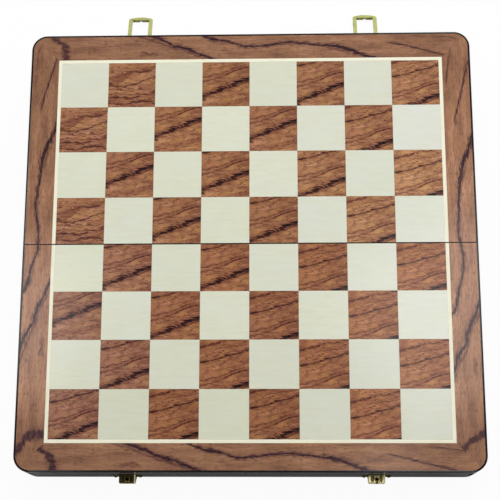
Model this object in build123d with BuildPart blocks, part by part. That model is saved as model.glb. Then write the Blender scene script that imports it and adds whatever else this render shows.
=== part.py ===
from build123d import *
import math
import os

# A folding games box: two shallow trays hinged along one long side. Opened flat with
# the rims down, their backs make one chess and draughts board. Folded rims together,
# they make a case that two brass loops hold shut.
#
# Frame: X to the right, Y away from the player, Z up. The box lies open with the board
# face up. The origin is the middle of its footprint, on the surface that it lies on.
# The near half has y below fold_y, the far half has y above it.

os.makedirs("parts", exist_ok=True)

# ---------------------------------------------------------------- driving dimensions
# Board
square = 41.0  # one square of the board
string_width = 3.0  # pale line round the squares
end_border = 24.5  # dark border at the left and right ends
long_border = 23.5  # dark border along the two long sides
squares_across = 8  # squares along the fold
rows_each_half = 4  # rows of squares on each half

# Case
half_height = 44.0  # rim to board face of one half
wall_thick = 12.0
panel_thick = 6.0
corner_radius = 13.5
face_chamfer = 0.6  # lacquered edge round the board face
rim_chamfer = 0.5  # eased outer edge of the rims
mitre_reach = 30.0  # how far the cutting shape of a mitre runs past its corners
fold_gap = 0.4  # between the two halves when flat

# Veneers
veneer = 0.6
edge_margin = 1.7  # lacquered wood left outside the veneer
fold_margin = 0.25  # the same along the fold
glue_line = 0.06  # between two pieces of veneer
tray_fit = 0.05  # round the floor of a tray

# Tray floor
points_each_end = 6  # tall triangles on each end wall of a tray
point_length = 142.0
point_width = 26.6

# Hinges
hinge_places = {"left": -110.0, "right": 110.0}
hinge_length = 40.0
knuckle_count = 3
knuckle_gap = 0.3
hinge_pin_radius = 0.8
hinge_sheet = 0.8
leaf_reach = 10.4  # fold to the outer edge of a leaf
leaf_corner = 1.5
leaf_start = 3.4  # fold to the flat of a leaf
rim_lift = 0.15  # rims above the hinge axis, so that shut rims do not rub
groove_depth = 2.0  # groove in the rim that clears the knuckles
groove_end = 1.6  # how far the groove runs past each end of a hinge
screw_spacing = 24.0
screw_line = 6.8  # fold to the line of screws
screw_head_radius = 1.9
screw_shank_radius = 1.1
screw_length = 9.0
sink_angle = 45.0  # of a countersunk head

# Latches
latch_places = {"left": -101.0, "right": 104.0}
pivot_rise = 13.0  # rim to the loop's pin
pivot_out = 2.2  # wall to the loop's pin
latch_pin_radius = 0.85
loop_sheet = 0.9
loop_length = 37.5  # pin to the tip of the loop
loop_width = 21.8
loop_opening = 14.8
loop_bar = 3.6  # depth of the end bar at its middle
loop_arch = 2.2  # rise of the curved tip
loop_corner = 2.5
lip_depth = 1.9  # turned-down lip on the inside of the end bar
lip_notch = 1.1
loop_droop = 23.4  # below level, where the lip rests on the table
eye_lap = 1.0  # how far the rolled eye of a leg runs past its own radius
plate_sheet = 0.8
plate_knuckle = 13.8
plate_top = 12.0  # pin to the top edge of the latch plate
plate_bottom = 4.0  # pin to the lower edge of the plate's flat
plate_nail_rise = 7.0  # pin to the nails of the latch plate
catch_rise = 20.1  # rim to the ledge that the loop hooks over
catch_depth = 7.0  # wall to the front of the block
catch_width = 13.6
catch_drop = 12.0  # height of the pressed block
catch_front = 3.0  # upright part of its front
ear_reach = 12.2  # middle of a plate to the end of an ear
ear_half = 2.4  # half the height of an ear
hollow = 0.3  # how far a hollow curve keeps from its corner, as a share of its size
catch_round = 1.0
catch_margin = 2.2  # flat of the catch above its block
ledge_hole_radius = 1.1
ledge_ring_radius = 2.0
ledge_ring_height = 0.3
ledge_ring_slope = 30.0
nail_reach = 10.2
nail_head_radius = 1.5
nail_head_height = 0.9
nail_head_slope = 35.0
nail_shank_radius = 0.7
nail_length = 8.0

# Rolled sheet
roll_angle = 295.0  # how far a sheet goes round its pin
joggle_low = 2.0  # pin to where the sheet begins to step away from the roll
joggle_high = 3.2  # pin to where it lies flat again
joggle_lap = 4.4  # pin to where it has joined its plate

# Screws and nails
head_sides = 12  # facets of a small round head
shank_sides = 8  # their shanks are hidden in the wood, and plain

# Fits
running_fit = 0.05  # pin in a knuckle
shank_fit = 0.05  # nail or screw in its hole
hole_past = 0.5  # how much deeper a hole is than its nail or screw

# ------------------------------------------------------------------- worked-out sizes
near, far = -1, 1
box_width = squares_across * square + 2 * (string_width + end_border)
half_depth = rows_each_half * square + string_width + long_border
wall_height = half_height - panel_thick

tray_half_width = box_width / 2 - wall_thick
tray_low = fold_gap / 2 + wall_thick
tray_high = half_depth - wall_thick

hinge_roll = hinge_pin_radius + running_fit + hinge_sheet  # outer radius of a knuckle
axis_z = hinge_roll  # the knuckles touch the table
rim_z = axis_z + rim_lift
knuckle_pitch = hinge_length / knuckle_count

loop_roll = latch_pin_radius + running_fit + loop_sheet  # outer radius of an eye
plate_roll = latch_pin_radius + running_fit + plate_sheet
loop_inside = loop_length - loop_bar  # pin to the inner face of the lip
droop = math.radians(loop_droop)
loop_reach = pivot_out + loop_length * math.cos(droop) + loop_roll * math.sin(droop)

# The loops stand out further than the catches, so the fold lies off the middle.
fold_y = (catch_depth - loop_reach) / 2


def save(piece, name):
    """Write one finished piece as a STEP file of its own name."""
    piece.label = name
    export_step(piece, f"parts/{name}.step")


def half_plane(side, rise=0.0):
    """Level plane above the rims. Its Y runs from the fold to the long wall of a half."""
    return Plane(origin=(0, fold_y, rim_z + rise), x_dir=(side, 0, 0), z_dir=(0, 0, 1))


def wall_plane(side, x, out=0.0):
    """Plane on the outside of a long wall at the rim. Its Y points up, its Z outwards."""
    return Plane(
        origin=(x, fold_y + side * (half_depth + out), rim_z),
        x_dir=(-side, 0, 0),
        z_dir=(0, side, 0),
    )


def cross_plane(side, x, y, z):
    """Upright plane across the box. Its X points away from the fold, its Y up."""
    return Plane(origin=(x, y, z), x_dir=(0, side, 0), z_dir=(side, 0, 0))


# ------------------------------------------------------------------------------- case
def half_outline(inset=0.0, fold_inset=0.0):
    """Outline of a half: square along the fold, rounded at the two outer corners."""
    low = fold_gap / 2 + fold_inset
    high = half_depth - inset
    with Locations((0, (low + high) / 2)):
        Rectangle(box_width - 2 * inset, high - low)
    fillet(vertices().group_by(Axis.Y)[-1], corner_radius - inset)


def mitred_region(place, half_width, low, high):
    """Region that cuts one strip out of a frame, with mitres through its corners."""
    corners = {
        "outer": ((-half_width, high), (half_width, high)),
        "right": ((half_width, high), (half_width, low)),
        "fold": ((half_width, low), (-half_width, low)),
        "left": ((-half_width, low), (-half_width, high)),
    }
    start, end = corners[place]
    outline = []
    for (x, y), way in ((start, -1), (start, 1), (end, 1), (end, -1)):
        along_x = math.copysign(mitre_reach, x) * way
        along_y = (mitre_reach if y == high else -mitre_reach) * way
        outline.append((x + along_x, y + along_y))
    with BuildLine() as region:
        Polyline(*outline, close=True)
    make_face(region.edges(), mode=Mode.INTERSECT)


def outer_edges(face):
    """Edges round a face of one half, without the one along the fold."""
    return face.outer_wire().edges().sort_by(lambda edge: abs(edge.center().Y - fold_y))[1:]


def frame_wall(side, place):
    """One wall of a tray: a mitred piece of the rounded frame."""
    with BuildPart() as wall:
        with BuildSketch(half_plane(side)):
            half_outline()
        extrude(amount=wall_height)
        chamfer(outer_edges(wall.faces().sort_by(Axis.Z)[0]), rim_chamfer)
        with BuildSketch(half_plane(side)):
            half_outline()
            with Locations((0, (tray_low + tray_high) / 2)):
                Rectangle(2 * tray_half_width, tray_high - tray_low, mode=Mode.SUBTRACT)
            mitred_region(place, tray_half_width, tray_low, tray_high)
        extrude(amount=wall_height, mode=Mode.INTERSECT)
    return wall.part


def fold_wall(side):
    """Fold wall with its two hinge recesses, knuckle grooves and screw holes."""
    with BuildPart() as wall:
        add(frame_wall(side, "fold"))
        for x in hinge_places.values():
            with BuildSketch(half_plane(side)):
                with Locations((side * x, (fold_gap + leaf_reach) / 2)):
                    Rectangle(hinge_length + 2 * tray_fit, leaf_reach)
            extrude(amount=hinge_sheet, mode=Mode.SUBTRACT)
            with BuildSketch(half_plane(side)):
                with Locations((side * x, leaf_start / 2)):
                    Rectangle(hinge_length + 2 * groove_end, leaf_start)
            extrude(amount=groove_depth, mode=Mode.SUBTRACT)
            with BuildSketch(half_plane(side)):
                with Locations(*screw_centres(side, x)):
                    RegularPolygon(screw_shank_radius + shank_fit, shank_sides)
            extrude(amount=screw_length + hole_past, mode=Mode.SUBTRACT)
    return wall.part


def long_wall(side):
    """Outer long wall with the nail holes of its two latch fittings."""
    with BuildPart() as wall:
        add(frame_wall(side, "outer"))
        for x in latch_places.values():
            with BuildSketch(wall_plane(side, x)):
                with Locations(*nail_centres(side)):
                    RegularPolygon(nail_shank_radius + shank_fit, shank_sides)
            extrude(amount=-nail_length - hole_past, mode=Mode.SUBTRACT)
    return wall.part


def panel(side):
    """Board panel: a tray's back, with a shallow bed for the veneers."""
    with BuildPart() as board:
        with BuildSketch(half_plane(side, wall_height)):
            half_outline()
        extrude(amount=panel_thick)
        chamfer(outer_edges(board.faces().sort_by(Axis.Z)[-1]), face_chamfer)
        with BuildSketch(half_plane(side, half_height)):
            half_outline(edge_margin, fold_margin)
        extrude(amount=-veneer, mode=Mode.SUBTRACT)
    return board.part


# ---------------------------------------------------------------------------- veneers
def veneer_strips(side, outline, half_width, high):
    """Three mitred strips of veneer: both ends and the outer side of a half."""
    below_fold = -box_width
    with BuildPart() as strips:
        for place in ("left", "outer", "right"):
            with BuildSketch(half_plane(side, half_height - veneer)):
                outline()
                with Locations((0, high / 2)):
                    Rectangle(2 * half_width, high, mode=Mode.SUBTRACT)
                mitred_region(place, half_width, below_fold, high)
                offset(amount=-glue_line / 2)
            extrude(amount=veneer)
    return strips.part


def string_outline():
    """Outer edge of the stringing on one half."""
    low = fold_gap / 2 + fold_margin
    high = rows_each_half * square + string_width
    with Locations((0, (low + high) / 2)):
        Rectangle(squares_across * square + 2 * string_width, high - low)


def veneer_outline():
    """Outer edge of the border veneer on one half."""
    half_outline(edge_margin, fold_margin)


def square_veneers(side, light):
    """The sixteen squares of one colour on one half."""
    with BuildPart() as squares:
        with BuildSketch(half_plane(side, half_height - veneer)):
            for row in range(rows_each_half):
                low = max(row * square, fold_gap / 2 + fold_margin)
                high = (row + 1) * square
                for column in range(squares_across):
                    if ((column + row) % 2 == 1) == light:
                        middle = (column - (squares_across - 1) / 2) * square
                        with Locations((middle, (low + high) / 2)):
                            Rectangle(square - glue_line, high - low - glue_line)
        extrude(amount=veneer)
    return squares.part


# ------------------------------------------------------------------------- tray floor
def point_outline(end, number, inset, mode):
    """One tall triangle of the tray floor, with its base on an end wall."""
    pitch = (tray_high - tray_low) / points_each_end
    middle = tray_low + (number + 0.5) * pitch
    base_x = end * (tray_half_width - tray_fit)
    tip_x = base_x - end * (point_length - inset)
    half_base = point_width / 2 - inset
    with BuildLine() as triangle:
        Polyline(
            (base_x, middle - half_base),
            (tip_x, middle),
            (base_x, middle + half_base),
            close=True,
        )
    make_face(triangle.edges(), mode=mode)


def tray_floor(side):
    """Floor veneer of a tray, with openings for the points let into it."""
    with BuildPart() as floor:
        with BuildSketch(half_plane(side, wall_height - veneer)):
            with Locations((0, (tray_low + tray_high) / 2)):
                Rectangle(
                    2 * (tray_half_width - tray_fit), tray_high - tray_low - 2 * tray_fit
                )
            for end in (-1, 1):
                for number in range(points_each_end):
                    point_outline(end, number, 0.0, Mode.SUBTRACT)
        extrude(amount=veneer)
    return floor.part


def floor_points(side, light):
    """The points of one colour in a tray floor. Facing points differ in colour."""
    with BuildPart() as points:
        with BuildSketch(half_plane(side, wall_height - veneer)):
            for end in (-1, 1):
                for number in range(points_each_end):
                    is_light = (number % 2 == 0) == (end > 0)
                    if is_light == light:
                        point_outline(end, number, glue_line, Mode.ADD)
        extrude(amount=veneer)
    return points.part


# ----------------------------------------------------------------------------- hinges
def screw_centres(side, x):
    """Places of the two screws of a leaf, on the plane of its half."""
    return [(side * x + way * screw_spacing / 2, screw_line) for way in (-1, 1)]


def rolled_sheet(sheet, roll, lie):
    """Section of a sheet whose end is rolled round a pin at the origin.

    Before the roll the sheet's middle lies at the height lie, and steps over to the roll.
    """
    middle = roll - sheet / 2
    with BuildLine() as centreline:
        FilletPolyline(
            (joggle_lap, lie),
            (joggle_high, lie),
            (joggle_low, middle),
            (0, middle),
            radius=sheet,
        )
        CenterArc((0, 0), middle, 90, roll_angle)
    trace(centreline.edges(), line_width=sheet)


def rolled_eye(sheet, roll):
    """Section of a straight sheet whose end is rolled round a pin at the origin."""
    middle = roll - sheet / 2
    with BuildLine() as centreline:
        Line((roll + eye_lap, middle), (0, middle))
        CenterArc((0, 0), middle, 90, roll_angle)
    trace(centreline.edges(), line_width=sheet)


def hinge_leaf(side, x, numbers):
    """Hinge leaf: a plate let into the rim, with rolled knuckles and sunk screw holes."""
    with BuildPart() as leaf:
        with BuildSketch(half_plane(side)):
            with Locations((side * x, (leaf_start + leaf_reach) / 2)):
                Rectangle(hinge_length, leaf_reach - leaf_start)
            fillet(vertices().group_by(Axis.Y)[-1], leaf_corner)
        extrude(amount=hinge_sheet)
        for number in numbers:
            knuckle_x = x + (number - (knuckle_count - 1) / 2) * knuckle_pitch
            with BuildSketch(cross_plane(side, knuckle_x, fold_y, axis_z)):
                rolled_sheet(hinge_sheet, hinge_roll, rim_lift + hinge_sheet / 2)
            extrude(amount=(knuckle_pitch - knuckle_gap) / 2, both=True)
        with BuildSketch(half_plane(side)):
            with Locations(*screw_centres(side, x)):
                RegularPolygon(screw_head_radius + shank_fit, head_sides)
        extrude(amount=hinge_sheet, taper=sink_angle, mode=Mode.SUBTRACT)
    return leaf.part


def hinge_pin(x):
    """Hinge pin, a little longer than its row of knuckles."""
    length = hinge_length + 2 * hinge_pin_radius
    with BuildPart() as pin:
        with BuildSketch(cross_plane(far, x, fold_y, axis_z)):
            Circle(hinge_pin_radius)
        extrude(amount=length / 2, both=True)
    return pin.part


def hinge_screws(side):
    """Countersunk screws of both hinges on one half."""
    centres = [at for x in hinge_places.values() for at in screw_centres(side, x)]
    with BuildPart() as screws:
        with BuildSketch(half_plane(side)):
            with Locations(*centres):
                RegularPolygon(screw_head_radius, head_sides)
        extrude(amount=hinge_sheet, taper=sink_angle)
        with BuildSketch(half_plane(side, hinge_sheet)):
            with Locations(*centres):
                RegularPolygon(screw_shank_radius, shank_sides)
        extrude(amount=screw_length - hinge_sheet)
    return screws.part


# ---------------------------------------------------------------------------- latches
def nail_height(side):
    """Height of the two nails of a latch fitting above the rim."""
    return pivot_rise + plate_nail_rise if side == far else catch_rise - catch_drop / 2


def nail_centres(side):
    """Places of the two nails of a latch fitting, on the plane of its wall."""
    return [(way * nail_reach, nail_height(side)) for way in (-1, 1)]


def hollow_curve(waist, edge, ear_edge):
    """Hollow curve from the corner of a plate's middle to the start of its ear."""
    ear_start = ear_reach - ear_half
    halfway = (waist + hollow * (ear_start - waist), ear_edge + hollow * (edge - ear_edge))
    return ThreePointArc((waist, edge), halfway, (ear_start, ear_edge))


def eared_outline(top, bottom, waist, ear_line):
    """Plate with two ears: a middle block, and hollow curves out to rounded ends."""
    ear_start = ear_reach - ear_half
    ear_top = ear_line + ear_half
    ear_bottom = ear_line - ear_half
    with BuildLine() as outline:
        right_side = [
            Line((0, top), (waist, top)),
            hollow_curve(waist, top, ear_top),
            ThreePointArc((ear_start, ear_top), (ear_reach, ear_line), (ear_start, ear_bottom)),
            hollow_curve(waist, bottom, ear_bottom),
            Line((waist, bottom), (0, bottom)),
        ]
        mirror(right_side, about=Plane.YZ)
    make_face(outline.edges())


def catch(x):
    """Catch on the near wall: an eared plate with a hollow block pressed out of it."""
    low = catch_rise - catch_drop
    profile = (
        (0, low),
        (0, catch_rise),
        (catch_depth, catch_rise),
        (catch_depth, catch_rise - catch_front),
        (plate_sheet, low),
    )
    wall_y = fold_y - half_depth
    with BuildPart() as piece:
        with BuildSketch(cross_plane(near, x, wall_y, rim_z)):
            with BuildLine():
                Polyline(*profile, close=True)
            make_face()
        extrude(amount=catch_width / 2, both=True)
        back = piece.faces().sort_by(Axis.Y)[-1]
        offset(amount=-plate_sheet, openings=back)
        fillet(piece.edges().group_by(Axis.Y)[0], catch_round)
        with BuildSketch(wall_plane(near, x)):
            eared_outline(
                catch_rise + catch_margin,
                low - catch_margin / 2,
                catch_width / 2 + plate_sheet / 2,
                nail_height(near),
            )
            with Locations((0, (low + catch_rise) / 2)):
                Rectangle(
                    catch_width - 2 * plate_sheet, catch_drop - 2 * plate_sheet, mode=Mode.SUBTRACT
                )
            with Locations(*nail_centres(near)):
                RegularPolygon(
                    nail_shank_radius + shank_fit, shank_sides, mode=Mode.SUBTRACT
                )
        extrude(amount=plate_sheet)
        with BuildSketch(Plane.XY.offset(rim_z + catch_rise)):
            with Locations((x, wall_y - catch_depth / 2)):
                Circle(ledge_ring_radius)
        extrude(amount=ledge_ring_height, taper=ledge_ring_slope)
        with BuildSketch(Plane.XY.offset(rim_z + catch_rise + ledge_ring_height)):
            with Locations((x, wall_y - catch_depth / 2)):
                Circle(ledge_hole_radius)
        extrude(amount=-2 * plate_sheet, mode=Mode.SUBTRACT)
    return piece.part


def latch_plate(x):
    """Plate on the far wall: ears for two nails, and a lower edge rolled round the pin."""
    wall_y = fold_y + half_depth
    pin_y = wall_y + pivot_out
    pin_z = rim_z + pivot_rise
    roll_plane = Plane(origin=(x, pin_y, pin_z), x_dir=(0, 0, 1), z_dir=(1, 0, 0))
    with BuildPart() as piece:
        with BuildSketch(roll_plane):
            rolled_sheet(plate_sheet, plate_roll, pivot_out - plate_sheet / 2)
        extrude(amount=plate_knuckle / 2, both=True)
        with BuildSketch(wall_plane(far, x)):
            eared_outline(
                pivot_rise + plate_top,
                pivot_rise + plate_bottom,
                plate_knuckle / 2,
                nail_height(far),
            )
            with Locations(*nail_centres(far)):
                RegularPolygon(
                    nail_shank_radius + shank_fit, shank_sides, mode=Mode.SUBTRACT
                )
        extrude(amount=plate_sheet)
    return piece.part


def latch_pin(x):
    """Pin that the loop swings on."""
    pin_y = fold_y + half_depth + pivot_out
    with BuildPart() as pin:
        with BuildSketch(cross_plane(far, x, pin_y, rim_z + pivot_rise)):
            Circle(latch_pin_radius)
        extrude(amount=loop_width / 2 + latch_pin_radius / 2, both=True)
    return pin.part


def loop_plane(x, rise=0.0):
    """Plane along the drooping loop from its pin. Its Y runs to the tip."""
    pin_y = fold_y + half_depth + pivot_out
    pin_z = rim_z + pivot_rise
    upwards = (0, math.sin(droop), math.cos(droop))
    return Plane(origin=(x, pin_y, pin_z), x_dir=(1, 0, 0), z_dir=upwards).offset(rise)


def latch_loop(x):
    """Sprung loop: two legs with rolled eyes, an arched end bar and a turned-down lip."""
    leg_width = (loop_width - loop_opening) / 2
    leg_bottom = loop_roll - loop_sheet
    arch_start = loop_length - loop_arch
    pin_y = fold_y + half_depth + pivot_out
    with BuildPart() as loop:
        with BuildSketch(loop_plane(x, leg_bottom)) as outline:
            with BuildLine():
                Polyline(
                    (-loop_width / 2, arch_start),
                    (-loop_width / 2, loop_roll),
                    (loop_width / 2, loop_roll),
                    (loop_width / 2, arch_start),
                )
                ThreePointArc(
                    (loop_width / 2, arch_start), (0, loop_length), (-loop_width / 2, arch_start)
                )
            make_face()
            fillet(outline.vertices().group_by(Axis.Y)[-1], loop_corner)
            with Locations((0, loop_inside / 2)):
                Rectangle(loop_opening, loop_inside, mode=Mode.SUBTRACT)
        extrude(amount=loop_sheet)
        with BuildSketch(loop_plane(x, leg_bottom - lip_depth)):
            with Locations((0, loop_inside + loop_sheet / 2)):
                Rectangle(loop_opening, loop_sheet)
        extrude(amount=lip_depth)
        with BuildSketch(loop_plane(x).rotated((90, 0, 0))):
            with Locations((0, leg_bottom - lip_depth)):
                Circle(lip_notch)
        extrude(amount=-loop_length, mode=Mode.SUBTRACT)
        for way in (-1, 1):
            eye_x = x + way * (loop_width - leg_width) / 2
            tilted = Plane(
                origin=(eye_x, pin_y, rim_z + pivot_rise),
                x_dir=(0, math.cos(droop), -math.sin(droop)),
                z_dir=(1, 0, 0),
            )
            with BuildSketch(tilted):
                rolled_eye(loop_sheet, loop_roll)
            extrude(amount=leg_width / 2, both=True)
    return loop.part


def round_head_nails(side):
    """Round-head nails of both latch fittings on one long wall."""
    with BuildPart() as nails:
        for x in latch_places.values():
            with BuildSketch(wall_plane(side, x, plate_sheet)):
                with Locations(*nail_centres(side)):
                    RegularPolygon(nail_head_radius, head_sides)
            extrude(amount=nail_head_height, taper=nail_head_slope)
            with BuildSketch(wall_plane(side, x, plate_sheet)):
                with Locations(*nail_centres(side)):
                    RegularPolygon(nail_shank_radius, shank_sides)
            extrude(amount=-plate_sheet - nail_length)
    return nails.part


# ------------------------------------------------------------------------------ build
for half, side in (("near", near), ("far", far)):
    save(long_wall(side), f"{half}_long_wall")
    save(fold_wall(side), f"{half}_fold_wall")
    for place, sign in (("left", -1), ("right", 1)):
        local_place = "right" if sign * side > 0 else "left"
        save(frame_wall(side, local_place), f"{half}_{place}_wall")
    save(panel(side), f"{half}_panel")
    save(
        veneer_strips(
            side,
            veneer_outline,
            squares_across * square / 2 + string_width,
            rows_each_half * square + string_width,
        ),
        f"{half}_border_veneer",
    )
    save(
        veneer_strips(
            side, string_outline, squares_across * square / 2, rows_each_half * square
        ),
        f"{half}_stringing",
    )
    save(square_veneers(side, light=True), f"{half}_light_squares")
    save(square_veneers(side, light=False), f"{half}_dark_squares")
    save(tray_floor(side), f"{half}_tray_floor")
    save(floor_points(side, light=True), f"{half}_light_points")
    save(floor_points(side, light=False), f"{half}_dark_points")
    save(hinge_screws(side), f"{half}_hinge_screws")

even_knuckles = range(0, knuckle_count, 2)
odd_knuckles = range(1, knuckle_count, 2)
for place, x in hinge_places.items():
    save(hinge_leaf(near, x, even_knuckles), f"{place}_hinge_near_leaf")
    save(hinge_leaf(far, x, odd_knuckles), f"{place}_hinge_far_leaf")
    save(hinge_pin(x), f"{place}_hinge_pin")

for place, x in latch_places.items():
    save(latch_plate(x), f"{place}_latch_plate")
    save(latch_pin(x), f"{place}_latch_pin")
    save(latch_loop(x), f"{place}_latch_loop")
    save(catch(x), f"{place}_catch")

save(round_head_nails(far), "latch_plate_nails")
save(round_head_nails(near), "catch_nails")
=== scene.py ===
import logging
import math
from dataclasses import dataclass, field, replace
from enum import Enum
from typing import Iterable, Sequence

import bmesh
import bpy
import numpy as np
from mathutils import Euler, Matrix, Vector


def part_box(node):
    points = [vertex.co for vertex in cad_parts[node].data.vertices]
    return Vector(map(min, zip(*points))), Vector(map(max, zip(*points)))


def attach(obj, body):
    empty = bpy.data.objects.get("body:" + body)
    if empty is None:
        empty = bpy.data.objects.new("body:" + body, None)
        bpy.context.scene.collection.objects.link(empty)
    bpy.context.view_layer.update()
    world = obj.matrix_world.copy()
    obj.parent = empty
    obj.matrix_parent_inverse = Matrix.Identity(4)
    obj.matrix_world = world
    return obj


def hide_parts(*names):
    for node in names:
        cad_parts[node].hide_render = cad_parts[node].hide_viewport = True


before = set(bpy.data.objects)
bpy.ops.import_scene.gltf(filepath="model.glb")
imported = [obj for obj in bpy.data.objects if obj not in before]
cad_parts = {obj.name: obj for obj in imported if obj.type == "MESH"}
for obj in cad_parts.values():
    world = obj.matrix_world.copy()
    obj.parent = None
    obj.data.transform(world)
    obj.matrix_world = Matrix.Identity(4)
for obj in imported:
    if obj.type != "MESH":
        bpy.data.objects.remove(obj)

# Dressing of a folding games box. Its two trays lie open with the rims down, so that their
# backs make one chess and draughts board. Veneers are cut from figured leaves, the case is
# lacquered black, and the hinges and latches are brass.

LOG = logging.getLogger("games_box")
MM = 0.001
SQUARE = 41.0 * MM
SQUARES_PER_METRE = 24.4
Socket = bpy.types.NodeSocket
Number = float | Socket
Triple = tuple[float, float, float]

# Names of the UV map and of the marks on points and tiles.
LEAF_MAP = "leaf"
LEAF_WINDOW = "leaf_window"
TILE_SCALE = "tile_scale"
TILE_TONE_AND_LIGHT = "tile_tone_and_light"
TURN = "turn"


class Body(Enum):
    """The four bodies that move against each other."""

    NEAR_HALF = "near_half"
    FAR_HALF = "far_half"
    LEFT_LOOP = "left_loop"
    RIGHT_LOOP = "right_loop"


class Slot(Enum):
    """Finishes of the record."""

    LACQUER = "black_lacquered_wood"
    DARK_VENEER = "dark_veneer"
    LIGHT_VENEER = "light_veneer"
    BRASS = "brass"
    STEEL = "plated_steel"


class Half(Enum):
    """The two trays, each with the side of the fold that it lies on."""

    NEAR = -1
    FAR = 1

    @property
    def body(self) -> Body:
        """Return the body that moves with this half."""
        return Body[f"{self.name}_HALF"]

    def node(self, part: str) -> str:
        """Return the name of the CAD node of one of its parts."""
        return f"{self.name.lower()}_{part}"


def linear(color: Triple, level: float = 1.0) -> tuple[float, float, float, float]:
    """Turn a screen colour into the linear one that a shader takes.

    Args:
        color: Red, green and blue from 0 to 255.
        level: Factor on the screen colour.

    Returns:
        The linear colour with full alpha.
    """
    parts = []
    for part in color:
        share = part * level / 255
        parts.append(share / 12.92 if share <= 0.04045 else ((share + 0.055) / 1.055) ** 2.4)
    return (*parts, 1.0)


def new_object(name: str, data: bpy.types.ID) -> bpy.types.Object:
    """Make an object and put it in the scene.

    Args:
        name: Name of the object.
        data: Its mesh, lamp or camera.

    Returns:
        The object.
    """
    made = bpy.data.objects.new(name, data)
    bpy.context.scene.collection.objects.link(made)
    return made


# --------------------------------------------------------------------------- node writing
class NodeWriter:
    """Writes nodes into one tree."""

    def __init__(self, tree: bpy.types.NodeTree) -> None:
        """Take the tree that the nodes go into."""
        self.tree = tree

    def feed(self, target: Socket, value: object) -> None:
        """Link a socket to an input, or set the input to a plain value.

        Args:
            target: The input.
            value: A socket of another node, or the plain value.
        """
        if isinstance(value, Socket):
            self.tree.links.new(value, target)
        else:
            target.default_value = value

    def add(self, kind: str, inputs: dict[str | int, object] | None = None,
            **settings: object) -> bpy.types.Node:
        """Add one node.

        Args:
            kind: Blender's name of the node type.
            inputs: What goes into its inputs, by their names or numbers.
            settings: Properties to set on the node.

        Returns:
            The new node.
        """
        node = self.tree.nodes.new(kind)
        for name, value in settings.items():
            setattr(node, name, value)
        for place, value in (inputs or {}).items():
            self.feed(node.inputs[place], value)
        return node

    def math(self, operation: str, *values: Number, clamp: bool = False) -> Socket:
        """Add one Math node.

        Args:
            operation: Blender's name of the operation.
            values: Its inputs, in order.
            clamp: Keep the result between 0 and 1.

        Returns:
            The result.
        """
        return self.add("ShaderNodeMath", dict(enumerate(values)), operation=operation,
                        use_clamp=clamp).outputs[0]

    def blend(self, factor: Number, low: object, high: object, mode: str = "MIX") -> Socket:
        """Mix two colours.

        Args:
            factor: Share of the second colour.
            low: First colour.
            high: Second colour.
            mode: Blender's name of the blend mode.

        Returns:
            The mixed colour.
        """
        return self.add("ShaderNodeMix", {"Factor": factor, 6: low, 7: high},
                        data_type="RGBA", blend_type=mode).outputs[2]

    def remap(self, value: Number, low: float, high: float, to_low: float = 0.0,
              to_high: float = 1.0) -> Socket:
        """Map a range of values onto another, clamped and eased in and out.

        Args:
            value: The value to map.
            low: Start of its range.
            high: End of its range.
            to_low: Result at the start.
            to_high: Result at the end.

        Returns:
            The mapped value.
        """
        return self.add("ShaderNodeMapRange",
                        dict(enumerate((value, low, high, to_low, to_high))),
                        interpolation_type="SMOOTHSTEP").outputs[0]

    def stretch(self, vector: Socket, scale: Sequence[float],
                shift: Sequence[float] = (0.0, 0.0, 0.0)) -> Socket:
        """Scale and shift a vector.

        Args:
            vector: The vector.
            scale: Factor of each axis.
            shift: Added to each axis after scaling.

        Returns:
            The new vector.
        """
        return self.add("ShaderNodeVectorMath",
                        {0: vector, 1: tuple(scale), 2: tuple(shift)},
                        operation="MULTIPLY_ADD").outputs[0]

    def noise(self, vector: Socket, scale: float, detail: float = 2.0,
              roughness: float = 0.5, distortion: float = 0.0) -> Socket:
        """Sample noise between 0 and 1.

        Args:
            vector: Where to sample it.
            scale: Its frequency.
            detail: Number of finer layers.
            roughness: Strength of the finer layers.
            distortion: How far it is bent by itself.

        Returns:
            The noise value.
        """
        return self.add("ShaderNodeTexNoise",
                        {"Vector": vector, "Scale": scale, "Detail": detail,
                         "Roughness": roughness, "Distortion": distortion}).outputs["Fac"]

    def streaky(self, vector: Socket, scale: Sequence[float],
                shift: Sequence[float] = (0.0, 0.0, 0.0), **shape: float) -> Socket:
        """Sample noise that has its own frequency along each axis.

        Args:
            vector: Where to sample it.
            scale: Its frequency along each axis.
            shift: Moves the pattern, so that two noises of one leaf differ.
            shape: Detail, roughness and distortion, as noise takes them.

        Returns:
            The noise value.
        """
        return self.noise(self.stretch(vector, scale, shift), 1.0, **shape)

    def axes(self, vector: Socket) -> tuple[Socket, Socket, Socket]:
        """Split a vector into its three values."""
        return tuple(self.add("ShaderNodeSeparateXYZ", {0: vector}).outputs)

    def vector(self, x: Number, y: Number, z: Number = 0.0) -> Socket:
        """Join three values into a vector."""
        return self.add("ShaderNodeCombineXYZ", {0: x, 1: y, 2: z}).outputs[0]

    def object_place(self) -> Socket:
        """Read a place on the object, which is its place in the frame, in metres."""
        return self.add("ShaderNodeTexCoord").outputs["Object"]

    def curve(self, value: Socket, points: Sequence[tuple[float, float]], start: float,
              span: float) -> Socket:
        """Read a curve given by its points, which runs straight on past its ends.

        Args:
            value: Place along the curve.
            points: The curve's points, as place and height.
            start: First place that the curve can hold.
            span: Length from there to the last one.

        Returns:
            The curve's height.
        """
        share = self.math("DIVIDE", self.math("SUBTRACT", value, start), span)
        node = self.add("ShaderNodeFloatCurve", {"Value": share})
        mapping = node.mapping
        mapping.use_clip = False
        mapping.extend = "EXTRAPOLATED"
        line = mapping.curves[0]
        places = [((x - start) / span, y) for x, y in points]
        line.points[0].location = places[0]
        line.points[1].location = places[-1]
        for place in places[1:-1]:
            line.points.new(*place)
        mapping.update()
        return node.outputs[0]

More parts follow.
